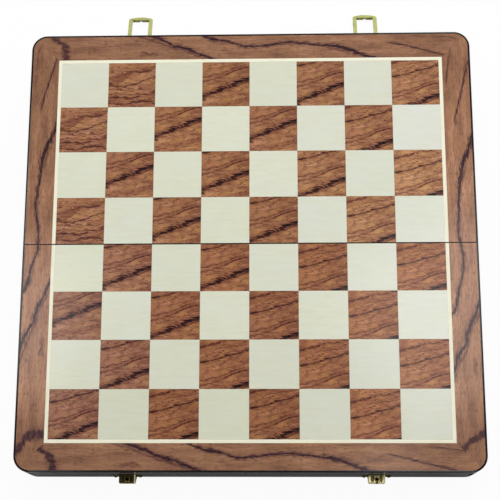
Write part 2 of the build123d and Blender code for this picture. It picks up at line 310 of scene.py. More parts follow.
    def place(self, tree: bpy.types.NodeTree,
              **inputs: object) -> bpy.types.bpy_prop_collection:
        """Place a node group.

        Args:
            tree: The group.
            inputs: Its inputs, with spaces in their names written as underscores.

        Returns:
            The outputs of the group's node.
        """
        spaced = {name.replace("_", " "): value for name, value in inputs.items()}
        return self.add("ShaderNodeGroup", spaced, node_tree=tree).outputs


def blank_tree(owner: bpy.types.Material | bpy.types.World) -> bpy.types.NodeTree:
    """Clear the nodes of a material or a world.

    Args:
        owner: The material or world.

    Returns:
        Its empty tree.
    """
    owner.use_nodes = True
    owner.node_tree.nodes.clear()
    return owner.node_tree


class EffectGroup:
    """A shader effect that several finishes share."""

    def __init__(self, name: str, inputs: dict[str, object], outputs: dict[str, str]) -> None:
        """Make the group and its sockets.

        Args:
            name: Name of the group.
            inputs: Input names, each with its default: a number or "vector".
            outputs: Output names, each with its kind: "value" or "vector".
        """
        kinds = {"value": "NodeSocketFloat", "vector": "NodeSocketVector"}
        self.tree = bpy.data.node_groups.new(name, "ShaderNodeTree")
        for label, default in inputs.items():
            kind = kinds["vector"] if default == "vector" else kinds["value"]
            socket = self.tree.interface.new_socket(label, in_out="INPUT", socket_type=kind)
            if default != "vector":
                socket.default_value = default
        for label, kind in outputs.items():
            self.tree.interface.new_socket(label, in_out="OUTPUT", socket_type=kinds[kind])
        self.writer = NodeWriter(self.tree)
        self.given = self.writer.add("NodeGroupInput").outputs
        self.result = self.writer.add("NodeGroupOutput").inputs

    def put(self, name: str, value: Socket) -> None:
        """Send a value to one of the group's outputs."""
        self.writer.feed(self.result[name], value)


# ------------------------------------------------------------------------- shared effects
def grain_warp() -> bpy.types.NodeTree:
    """Build the group that bends a leaf's coordinates as the grain does.

    Returns:
        The node group. Its vector is in squares, X along the grain.
    """
    group = EffectGroup("grain_warp", {"Vector": "vector", "Wobble": 0.03, "Fringe": 0.05},
                        {"Vector": "vector"})
    w = group.writer
    place = group.given["Vector"]
    slow, quick, comb = (w.math("SUBTRACT", noise, 0.5) for noise in (
        w.noise(w.stretch(place, (1.0, 2.0, 1.0)), 3.0, 1.0),
        w.noise(w.stretch(place, (1.0, 1.6, 1.0), (7.0, 3.0, 0.0)), 7.5, 3.0, 0.6),
        w.streaky(place, (3.0, 24.0, 1.0), detail=3.0, roughness=0.65)))
    x, y, z = w.axes(place)
    bent_x = w.math("MULTIPLY_ADD", comb, group.given["Fringe"], x)
    quick_share = 0.6
    lift = w.math("MULTIPLY_ADD", quick, quick_share, slow)
    bent_y = w.math("MULTIPLY_ADD", lift, group.given["Wobble"], y)
    group.put("Vector", w.vector(bent_x, bent_y, z))
    return group.tree


def vein_line() -> bpy.types.NodeTree:
    """Build the group that darkens a vein by the distance from its middle.

    Returns:
        The node group. Grit, from 0 to 1, makes the vein wide or narrow from place to place.
    """
    group = EffectGroup("vein_line", {"Place": 0.0, "Middle": 0.0, "Half Width": 0.02,
                                      "Strength": 0.7, "Grit": 0.5},
                        {"Core": "value", "Halo": "value"})
    w = group.writer
    given = group.given
    half_width, grit = given["Half Width"], given["Grit"]
    away = w.math("ABSOLUTE", w.math("SUBTRACT", given["Place"], given["Middle"]))
    narrowest, widening = 0.3, 1.5
    core_width = w.math("MULTIPLY", half_width,
                        w.math("MULTIPLY_ADD", grit, widening, narrowest))
    halo_width = w.math("MULTIPLY", w.math("MULTIPLY_ADD", half_width, 2.0, 0.03),
                        w.math("MULTIPLY_ADD", grit, 1.0, 0.5))
    for name, width, solid, end in (("Core", core_width, 0.35, 1.05),
                                    ("Halo", halo_width, 0.0, 1.0)):
        mask = w.remap(w.math("DIVIDE", away, width), solid, end, 1.0, 0.0)
        group.put(name, w.math("MULTIPLY", mask, given["Strength"], clamp=True))
    return group.tree


def wood_pores() -> bpy.types.NodeTree:
    """Build the group that draws short dark pores along the grain.

    Returns:
        The node group. Its pores stand closer together in patches.
    """
    group = EffectGroup("wood_pores", {"Vector": "vector", "Amount": 0.5},
                        {"Mask": "value"})
    w = group.writer
    place = group.given["Vector"]
    dashes = w.streaky(place, (9.0, 95.0, 1.0), detail=1.0, roughness=0.4)
    patches = w.streaky(place, (1.5, 5.0, 1.0), (3.0, 9.0, 0.0), detail=1.0)
    gate, patch_gain = 0.68, -0.12
    over = w.math("SUBTRACT", dashes, w.math("MULTIPLY_ADD", patches, patch_gain, gate))
    depth = w.remap(over, -0.02, 0.07)
    group.put("Mask", w.math("MULTIPLY", depth, group.given["Amount"], clamp=True))
    return group.tree


def wood_streaks() -> bpy.types.NodeTree:
    """Build the group of soft light and dark streaks along the grain.

    Returns:
        The node group. Its value lies round the middle of 0 to 1.
    """
    group = EffectGroup("wood_streaks", {"Vector": "vector", "Fineness": 1.0},
                        {"Value": "value"})
    w = group.writer
    scaled = w.add("ShaderNodeVectorMath",
                   {0: group.given["Vector"], "Scale": group.given["Fineness"]},
                   operation="SCALE").outputs[0]
    broad = w.streaky(scaled, (0.9, 5.0, 1.0), distortion=0.3)
    fine = w.streaky(scaled, (2.5, 28.0, 1.0), (5.0, 1.0, 0.0), detail=3.0, roughness=0.6)
    fine_share = 0.45
    group.put("Value", w.math("MULTIPLY_ADD", fine, fine_share,
                              w.math("MULTIPLY", broad, 1.0 - fine_share)))
    return group.tree


def coat_ripple() -> bpy.types.NodeTree:
    """Build the group of the faint unevenness of a sprayed coat and its dull scuffs.

    Returns:
        The node group. Its vector is in metres.
    """
    group = EffectGroup("coat_ripple", {"Vector": "vector"},
                        {"Height": "value", "Wear": "value"})
    w = group.writer
    place = group.given["Vector"]
    group.put("Height", w.noise(place, 90.0))
    scuffs = w.noise(w.stretch(place, (1.0, 3.0, 2.0)), 45.0, 4.0, 0.65)
    group.put("Wear", w.remap(scuffs, 0.45, 0.75))
    return group.tree


def metal_age() -> bpy.types.NodeTree:
    """Build the group of tarnish patches and fine rub marks on sheet metal.

    Returns:
        The node group. Its vector is in metres, and the rub marks run along X.
    """
    group = EffectGroup("metal_age", {"Vector": "vector", "Tarnish": 0.4},
                        {"Patches": "value", "Rubs": "value"})
    w = group.writer
    place = group.given["Vector"]
    cloud = w.noise(place, 260.0, 4.0, 0.6, 0.4)
    spots = w.noise(w.stretch(place, (1.0, 1.0, 1.0), (0.3, 0.7, 0.1)), 1400.0)
    spot_share = 0.4
    patches = w.math("MULTIPLY_ADD", w.remap(spots, 0.6, 0.8), spot_share,
                     w.remap(cloud, 0.45, 0.75))
    group.put("Patches", w.math("MULTIPLY", patches, group.given["Tarnish"], clamp=True))
    group.put("Rubs", w.streaky(place, (220.0, 2600.0, 900.0), roughness=0.6))
    return group.tree


@dataclass(frozen=True)
class Effects:
    """The shared effects, built once."""

    warp: bpy.types.NodeTree = field(default_factory=grain_warp)
    vein: bpy.types.NodeTree = field(default_factory=vein_line)
    pores: bpy.types.NodeTree = field(default_factory=wood_pores)
    streaks: bpy.types.NodeTree = field(default_factory=wood_streaks)
    ripple: bpy.types.NodeTree = field(default_factory=coat_ripple)
    age: bpy.types.NodeTree = field(default_factory=metal_age)


# ------------------------------------------------------------------------------- finishes
class Painter(NodeWriter):
    """Writes the nodes of one material round its Principled shader."""

    def __init__(self, name: str, effects: Effects) -> None:
        """Make the material and its shader.

        Args:
            name: Name of the material.
            effects: The shared effects.
        """
        self.material = bpy.data.materials.new(name)
        super().__init__(blank_tree(self.material))
        self.effects = effects
        self.shader = self.add("ShaderNodeBsdfPrincipled")
        self.add("ShaderNodeOutputMaterial", {"Surface": self.shader.outputs[0]})

    def paint(self, **inputs: object) -> None:
        """Feed the shader's inputs, with spaces in their names written as underscores."""
        for name, value in inputs.items():
            self.feed(self.shader.inputs[name.replace("_", " ")], value)

    def leaf_place(self) -> Socket:
        """Read a place on the leaf, in squares, from the piece's UV map."""
        return self.add("ShaderNodeUVMap", uv_map=LEAF_MAP).outputs[0]

    def bent(self, leaf: Socket, wobble: float, fringe: float) -> Socket:
        """Bend a place on the leaf as the grain, across by wobble and along by fringe."""
        return self.place(self.effects.warp, Vector=leaf, Wobble=wobble, Fringe=fringe)[0]

    def streaks(self, leaf: Socket, fineness: float) -> Socket:
        """Draw the soft streaks of the leaf at a place on it."""
        return self.place(self.effects.streaks, Vector=leaf, Fineness=fineness)[0]

    def pores(self, leaf: Socket, amount: float) -> Socket:
        """Mask the pores of the leaf at a place on it."""
        return self.place(self.effects.pores, Vector=leaf, Amount=amount)[0]

    def toned_and_lit(self, color: Socket) -> Socket:
        """Brighten or darken a tile's colour by the piece's own mark, which holds its tone
        and its painted sheen and shade.

        Args:
            color: The colour before.

        Returns:
            The colour after. A piece without marks keeps its colour.
        """
        mark = self.add("ShaderNodeAttribute", attribute_name=TILE_TONE_AND_LIGHT)
        brightness, warmth, redness = self.axes(mark.outputs["Vector"])
        level = self.math("ADD", 1.0, brightness)
        tint = self.vector(level, self.math("SUBTRACT", level, redness),
                           self.math("SUBTRACT", level, warmth))
        return self.blend(1.0, color, tint, "MULTIPLY")

    def coat(self, roughness: tuple[float, float],
             refraction: float) -> tuple[Socket, Socket]:
        """Give the surface the gloss of a clear coat with dull scuffs.

        Args:
            roughness: Roughness where the coat is whole and where it is scuffed.
            refraction: The coat's index of refraction.

        Returns:
            Height of the coat's ripple and mask of its scuffs.
        """
        ripple = self.place(self.effects.ripple, Vector=self.object_place())
        self.paint(Roughness=self.remap(ripple["Wear"], 0.0, 1.0, *roughness),
                   IOR=refraction)
        return ripple["Height"], ripple["Wear"]

    def relief(self, height: Socket, strength: float, distance: float) -> None:
        """Raise the surface by a height.

        Args:
            height: The height.
            strength: How much of it shows.
            distance: Real height of 1, in metres.
        """
        bump = self.add("ShaderNodeBump", {"Strength": strength, "Distance": distance,
                                           "Height": height})
        self.paint(Normal=bump.outputs["Normal"])


@dataclass(frozen=True)
class Vein:
    """One dark vein of a leaf, with sizes in squares.

    points are places along and across the grain on its middle line. A crossing vein is read
    the other way round: its points are places across and along the grain. shown is the
    stretch where the vein can be seen.
    """

    points: tuple[tuple[float, float], ...]
    half_width: float
    strength: float
    crossing: bool = False
    shown: tuple[float, float] | None = None


@dataclass(frozen=True)
class Figure:
    """The veins of one leaf, with the stretch of grain that they cover."""

    veins: tuple[Vein, ...]
    start: float
    span: float
    slope: float

    def drifted(self, drift: Sequence[tuple[float, float]]) -> "Figure":
        """Make the figure of a later leaf, whose veins lie a little further back.

        Args:
            drift: Places along the grain, each with how far back its veins have moved.

        Returns:
            The later leaf's figure.
        """
        places, moves = zip(*drift)

        def moved(along: float) -> float:
            """Return where a place along the grain comes to lie."""
            return along - float(np.interp(along, places, moves))

        veins = []
        for vein in self.veins:
            points = tuple((x, moved(y)) if vein.crossing else (moved(x), y)
                           for x, y in vein.points)
            shown = vein.shown and tuple(moved(end) for end in vein.shown)
            veins.append(replace(vein, points=points, shown=shown))
        return replace(self, veins=tuple(veins))


# Figure of the leaf that the dark squares are cut from. It has one broad dark band that
# rises along the grain and thinner lines above it.
SQUARE_FIGURE = Figure((
    Vein(((-0.1, -0.04), (0.0, 0.0), (0.25, 0.12), (0.45, 0.20), (0.6, 0.27), (0.8, 0.36),
          (1.0, 0.42), (1.1, 0.46)), 0.060, 1.0),
    Vein(((0.0, 0.09), (0.2, 0.13), (0.5, 0.24), (0.8, 0.31), (1.0, 0.38)), 0.030, 0.6),
    Vein(((-0.1, 0.33), (0.0, 0.35), (0.2, 0.40), (0.45, 0.50), (0.6, 0.57), (0.8, 0.62),
          (1.0, 0.68)), 0.024, 0.72),
    Vein(((0.0, 0.27), (0.3, 0.33), (0.6, 0.43), (0.9, 0.52), (1.0, 0.56)), 0.015, 0.4),
    Vein(((0.0, 0.45), (0.3, 0.52), (0.6, 0.63), (0.9, 0.72), (1.0, 0.76)), 0.017, 0.5),
    Vein(((0.0, 0.84), (0.2, 0.87), (0.45, 0.93), (0.65, 0.98), (0.8, 1.05), (1.0, 1.10)),
         0.026, 0.85),
    Vein(((0.0, 0.62), (0.4, 0.69), (0.7, 0.78), (1.0, 0.86)), 0.014, 0.35),
    Vein(((0.0, 1.02), (0.4, 1.10), (0.7, 1.17), (1.0, 1.22)), 0.014, 0.4),
    Vein(((0.0, 1.15), (0.25, 1.19), (0.5, 1.26), (0.75, 1.31), (1.0, 1.36)), 0.022, 0.7),
), start=-0.3, span=1.6, slope=0.34)

# Figure of the leaf with a small knot, and how far below the first leaf it is kept.
KNOT_PLACE = 3.0
KNOT_FIGURE = Figure((
    Vein(((0.0, 0.64), (0.2, 0.71), (0.42, 0.77), (0.8, 0.82), (1.0, 0.92)), 0.022, 0.7),
    Vein(((0.0, 0.52), (0.12, 0.50), (0.36, 0.45), (0.46, 0.49), (0.64, 0.54), (0.8, 0.61),
          (1.0, 0.68)), 0.024, 0.7),
    Vein(((0.0, 0.40), (0.3, 0.37), (0.55, 0.42), (0.8, 0.40), (1.0, 0.36)), 0.018, 0.5),
    Vein(((0.0, 0.29), (0.3, 0.30), (0.6, 0.27), (1.0, 0.34)), 0.020, 0.55),
    Vein(((0.0, 0.20), (0.25, 0.22), (0.5, 0.20), (0.75, 0.28), (1.0, 0.33)), 0.024, 0.7),
    Vein(((0.0, 0.11), (0.25, 0.07), (0.5, 0.11), (0.75, 0.13), (1.0, 0.08)), 0.030, 0.8),
), start=-0.3, span=1.6, slope=0.12)

# Figure of the leaf that the border strips are cut from.
BORDER_FIGURE = Figure((
    Vein(((0.0, 0.45), (0.12, 0.59), (0.2, 0.73), (0.3, 0.79), (0.45, 0.80), (0.6, 0.68)),
         0.105, 0.8, crossing=True),
    Vein(((2.0, 0.55), (2.3, 0.47), (2.6, 0.43), (3.0, 0.49)), 0.060, 0.45,
         shown=(2.1, 3.0)),
    Vein(((2.5, 0.0), (2.91, 0.15), (3.1, 0.27), (3.33, 0.32), (3.58, 0.42), (3.9, 0.56)),
         0.042, 1.0),
    Vein(((2.2, 0.0), (2.7, 0.15), (3.0, 0.29), (3.33, 0.38), (3.58, 0.49), (3.7, 0.56)),
         0.022, 0.5),
    Vein(((3.7, 0.0), (3.9, 0.11), (4.2, 0.16), (4.4, 0.23), (4.7, 0.29), (5.0, 0.27),
          (5.24, 0.22), (5.5, 0.20), (5.8, 0.22), (6.0, 0.24), (6.28, 0.27), (6.52, 0.31),
          (6.76, 0.37), (6.94, 0.44), (7.12, 0.51), (7.3, 0.57)), 0.026, 1.0),
    Vein(((6.2, 0.24), (6.52, 0.30), (6.76, 0.36), (6.94, 0.43), (7.12, 0.50), (7.3, 0.56)),
         0.052, 1.0, shown=(6.1, 7.9)),
    Vein(((3.7, 0.02), (3.95, 0.12), (4.2, 0.17), (4.4, 0.22)), 0.040, 0.9,
         shown=(3.4, 4.6)),
    Vein(((7.3, 0.20), (7.6, 0.22), (7.9, 0.28), (8.12, 0.33), (8.5, 0.43), (8.9, 0.53)),
         0.018, 0.8, shown=(7.4, 9.2)),
    Vein(((8.2, 0.02), (8.6, 0.09), (8.9, 0.12), (9.3, 0.20)), 0.012, 0.6,
         shown=(8.3, 9.4)),
), start=0.0, span=10.0, slope=0.04)


@dataclass(frozen=True)
class Finish:
    """One finish. Each kind paints its material in its own way."""

    name: str

    def build(self, effects: Effects) -> bpy.types.Material:
        """Build the material.

        Args:
            effects: The shared effects.

        Returns:
            The material.
        """
        w = Painter(self.name, effects)
        self.paint(w)
        return w.material

    def paint(self, w: Painter) -> None:
        """Write the material's nodes."""
        raise NotImplementedError


@dataclass(frozen=True)
class FiguredVeneer(Finish):
    """Dark veneer with veins, pores and streaks, under a clear coat.

    fringe and wobble bend the grain along and across it, in squares. pores, strands and
    fibre are how strong the fine lines are, and breaks is what is left of a vein where it is
    broken. fade is how long a vein takes to end, in squares. The sheen stretches are extra
    brightness at places along the grain: a painted sheen, where a soft reflection is painted
    into the wood's colour.
    """

    figure: Figure
    light: Triple
    middle: Triple
    dark: Triple
    golden: Triple
    line_color: Triple
    band_color: Triple
    knots: Figure | None = None
    fringe: float = 0.34
    wobble: float = 0.11
    pores: float = 0.55
    strands: float = 0.42
    refraction: float = 1.36
    fibre: float = 0.5
    breaks: float = 0.3
    painted_sheen: tuple[tuple[float, float], ...] = ()
    gloss: tuple[float, float] = (0.15, 0.22)
    pore_depth: float = 0.04 * MM
    fade: float = 0.4

    def draw(self, w: Painter, place: Socket, figure: Figure) -> tuple[Socket, Socket]:
        """Draw the veins of one leaf.

        Args:
            w: Painter of the material.
            place: Place on the leaf, in squares.
            figure: The leaf's veins.

        Returns:
            Masks of the veins and of the darker wood beside them, from 0 to 1.
        """
        along, across, _ = w.axes(place)
        grit, blur = (w.remap(w.streaky(place, scale, roughness=0.6), 0.34, 0.66, least, 1.0)
                      for scale, least in (((6.0, 34.0, 1.0), 0.0), ((7.0, 9.0, 1.0), 0.4)))
        core: Number = 0.0
        halo: Number = 0.0
        for vein in figure.veins:
            here, there = (across, along) if vein.crossing else (along, across)
            line = w.place(w.effects.vein, Place=there,
                           Middle=w.curve(here, vein.points, figure.start, figure.span),
                           Grit=blur if vein.crossing else grit,
                           Half_Width=vein.half_width, Strength=vein.strength)
            masks = [line["Core"], line["Halo"]]
            if vein.shown:
                begin, end = vein.shown
                gate = w.math("MULTIPLY", w.remap(here, begin, begin + self.fade),
                              w.remap(here, end - self.fade, end, 1.0, 0.0))
                masks = [w.math("MULTIPLY", mask, gate) for mask in masks]
            core = w.math("MAXIMUM", core, masks[0])
            halo = w.math("MAXIMUM", halo, masks[1])
        return core, halo

    def veins(self, w: Painter, warped: Socket) -> tuple[Socket, Socket, Socket]:
        """Draw the veins of every leaf and break them up.

        Args:
            w: Painter of the material.
            warped: Place on the leaf, bent as the grain.

        Returns:
            Masks of the veins, of the darker wood beside them and of unbroken wood.
        """
        masks = self.draw(w, warped, self.figure)
        if self.knots:
            low = w.stretch(warped, (1.0, 1.0, 1.0), (0.0, KNOT_PLACE, 0.0))
            masks = [w.math("MAXIMUM", *pair)
                     for pair in zip(masks, self.draw(w, low, self.knots))]
        flecks = w.streaky(warped, (7.0, 38.0, 1.0), (2.0, 5.0, 0.0), detail=3.0,
                           roughness=0.7)
        core, halo = (w.math("MULTIPLY", mask, w.remap(flecks, start, 0.64, 1.0, self.breaks))
                      for mask, start in zip(masks, (0.45, 0.42)))
        return core, halo, w.remap(flecks, 0.4, 0.6, 1.0, 0.2)

    def ground(self, w: Painter, warped: Socket, level: Socket) -> Socket:
        """Mix the wood between the veins.

        Args:
            w: Painter of the material.
            warped: Place on the leaf, bent as the grain.
            level: The same place with the figure's slope taken out.

        Returns:
            Its colour.
        """
        streaks = w.streaks(level, 1.0)
        fibres = w.streaks(warped, 2.2)
        clouds = w.streaky(level, (2.4, 4.2, 1.0), (1.3, 8.1, 0.0))
        color: object = linear(self.dark)
        for share, layer in ((w.remap(streaks, 0.34, 0.5), self.middle),
                             (w.remap(streaks, 0.48, 0.64), self.light),
                             (w.remap(clouds, 0.45, 0.7, 0.0, 0.7), self.golden),
                             (w.remap(fibres, 0.35, 0.62, self.fibre, 0.0), self.dark)):
            color = w.blend(share, color, linear(layer))
        # Painted sheen: the wood is brightened where a soft reflection lies along the strip.
        if self.painted_sheen:
            sheen_gain = w.math("ADD", 1.0, w.curve(w.axes(warped)[0], self.painted_sheen,
                                              self.figure.start, self.figure.span))
            color = w.blend(1.0, color, w.vector(sheen_gain, sheen_gain, sheen_gain), "MULTIPLY")
        return color

    def paint(self, w: Painter) -> None:
        """Write the material's nodes.

        Args:
            w: Painter of the material.
        """
        warped = w.bent(w.leaf_place(), self.wobble, self.fringe)
        x, y, _ = w.axes(warped)
        level = w.vector(x, w.math("MULTIPLY_ADD", x, -self.figure.slope, y))
        core, halo, whole = self.veins(w, warped)
        strands = w.streaky(level, (1.1, 9.0, 1.0), (4.0, 2.0, 0.0), roughness=0.55)
        strand_width, halo_share = 0.035, 0.62
        ridge = w.remap(w.math("ABSOLUTE", w.math("SUBTRACT", strands, 0.5)), 0.0,
                        strand_width, self.strands, 0.0)
        shade = w.math("MAXIMUM", w.math("MULTIPLY", halo, halo_share),
                       w.math("MAXIMUM", core, w.math("MULTIPLY", ridge, whole)))
        color = w.blend(w.remap(shade, 0.04, 0.6, 0.0, 0.95),
                        self.ground(w, warped, level), linear(self.line_color))
        color = w.blend(w.remap(core, 0.5, 0.95), color, linear(self.band_color))
        pores = w.pores(warped, self.pores)
        pore_level = 0.5
        w.paint(Base_Color=w.toned_and_lit(w.blend(pores, color, linear(self.dark, pore_level))))
        w.coat(self.gloss, self.refraction)
        w.relief(w.math("SUBTRACT", 1.0, pores), strength=0.35, distance=self.pore_depth)


@dataclass(frozen=True)
class PaleVeneer(Finish):
    """Pale, almost plain veneer with a fine grain, faint rays and cool clouds."""

    light: Triple
    dark: Triple
    cool: Triple
    wobble: float = 0.03
    fringe: float = 0.1
    fineness: float = 2.4
    ray_level: float = 0.93
    gloss: tuple[float, float] = (0.15, 0.22)
    refraction: float = 1.45
    grain_depth: float = 0.03 * MM

    def paint(self, w: Painter) -> None:
        """Write the material's nodes.

        Args:
            w: Painter of the material.
        """
        leaf = w.leaf_place()
        warped = w.bent(leaf, self.wobble, self.fringe)
        streaks = w.streaks(warped, self.fineness)
        rays = w.streaky(leaf, (1.2, 46.0, 1.0), (2.0, 7.0, 0.0))
        clouds = w.streaky(leaf, (1.4, 2.2, 1.0), (9.0, 4.0, 0.0))
        color: object = linear(self.dark)
        for share, layer in (
                (w.remap(streaks, 0.3, 0.7), linear(self.light)),
                (w.remap(rays, 0.62, 0.78, 0.0, 0.45), linear(self.dark, self.ray_level)),
                (w.remap(clouds, 0.35, 0.65, 0.0, 0.4), linear(self.cool))):
            color = w.blend(share, color, layer)
        w.paint(Base_Color=w.toned_and_lit(color))
        w.coat(self.gloss, self.refraction)
        w.relief(streaks, strength=0.2, distance=self.grain_depth)


@dataclass(frozen=True)
class PlainVeneer(Finish):
    """Quiet veneer that reads its place from the object, edges included."""

    light: Triple
    dark: Triple
    along_x: bool = True
    pores: float = 0.35
    wobble: float = 0.06
    fringe: float = 0.2
    fineness: float = 1.3
    pore_level: float = 0.55
    edge_slope: float = 0.8
    gloss: tuple[float, float] = (0.46, 0.38)
    grain_depth: float = 0.04 * MM

    def paint(self, w: Painter) -> None:
        """Write the material's nodes.

        Args:
            w: Painter of the material.
        """
        x, y, z = w.axes(w.object_place())
        along, across = (x, y) if self.along_x else (y, x)
        across = w.math("ADD", across, w.math("MULTIPLY", z, self.edge_slope))
        leaf = w.stretch(w.vector(along, across),
                         (SQUARES_PER_METRE, SQUARES_PER_METRE, 0.0))
        warped = w.bent(leaf, self.wobble, self.fringe)
        streaks = w.streaks(warped, self.fineness)
        pores = w.pores(warped, self.pores)
        ground = w.blend(w.remap(streaks, 0.35, 0.65), linear(self.dark), linear(self.light))
        w.paint(Base_Color=w.blend(pores, ground, linear(self.dark, self.pore_level)),
                Roughness=w.remap(streaks, 0.3, 0.7, *self.gloss))
        w.relief(w.math("SUBTRACT", streaks, pores), strength=0.3,
                 distance=self.grain_depth)


@dataclass(frozen=True)
class StringFinish(Finish):
    """Pale stringing, with its grain along each strip.

    The strips past side_start, on either side, have their grain along Y.
    """

    light: Triple
    dark: Triple
    side_start: float = 164.0 * MM
    fineness: float = 2.5
    gloss: tuple[float, float] = (0.28, 0.38)
    refraction: float = 1.5
    grain_depth: float = 0.03 * MM

    def paint(self, w: Painter) -> None:
        """Write the material's nodes.

        Args:
            w: Painter of the material.
        """
        x, y, _ = w.axes(w.object_place())
        on_side = w.math("GREATER_THAN", w.math("ABSOLUTE", x), self.side_start)
        leaf = w.stretch(w.blend(on_side, w.vector(x, y), w.vector(y, x)),
                         (SQUARES_PER_METRE, SQUARES_PER_METRE, 0.0))
        streaks = w.streaks(leaf, self.fineness)
        w.paint(Base_Color=w.blend(w.remap(streaks, 0.35, 0.65), linear(self.dark),
                                   linear(self.light)))
        w.coat(self.gloss, self.refraction)
        w.relief(streaks, strength=0.2, distance=self.grain_depth)


@dataclass(frozen=True)
class Lacquer(Finish):
    """Gloss black lacquer on wood, a little greyer where it is scuffed."""

    color: Triple
    scuffed: Triple
    gloss: tuple[float, float] = (0.11, 0.18)
    refraction: float = 1.45
    ripple_depth: float = 0.05 * MM

    def paint(self, w: Painter) -> None:
        """Write the material's nodes.

        Args:
            w: Painter of the material.
        """
        height, wear = w.coat(self.gloss, self.refraction)
        w.paint(Base_Color=w.blend(w.math("MULTIPLY", wear, 0.5), linear(self.color),
                                   linear(self.scuffed)))
        w.relief(height, strength=0.06, distance=self.ripple_depth)


@dataclass(frozen=True)
class Metal(Finish):
    """Polished sheet metal with a little tarnish."""

    color: Triple
    tarnish_color: Triple
    roughness: float = 0.18
    tarnish: float = 0.4
    rub_roughness: float = 0.1
    tarnish_roughness: float = 0.25
    rub_depth: float = 0.02 * MM

    def paint(self, w: Painter) -> None:
        """Write the material's nodes.

        Args:
            w: Painter of the material.
        """
        age = w.place(w.effects.age, Vector=w.object_place(), Tarnish=self.tarnish)
        patches, rubs = age["Patches"], age["Rubs"]
        rubbed = w.remap(rubs, 0.3, 0.7, self.roughness, self.roughness + self.rub_roughness)
        w.paint(Metallic=1.0,
                Base_Color=w.blend(patches, linear(self.color), linear(self.tarnish_color)),
                Roughness=w.math("MULTIPLY_ADD", patches, self.tarnish_roughness, rubbed))
        w.relief(rubs, strength=0.1, distance=self.rub_depth)


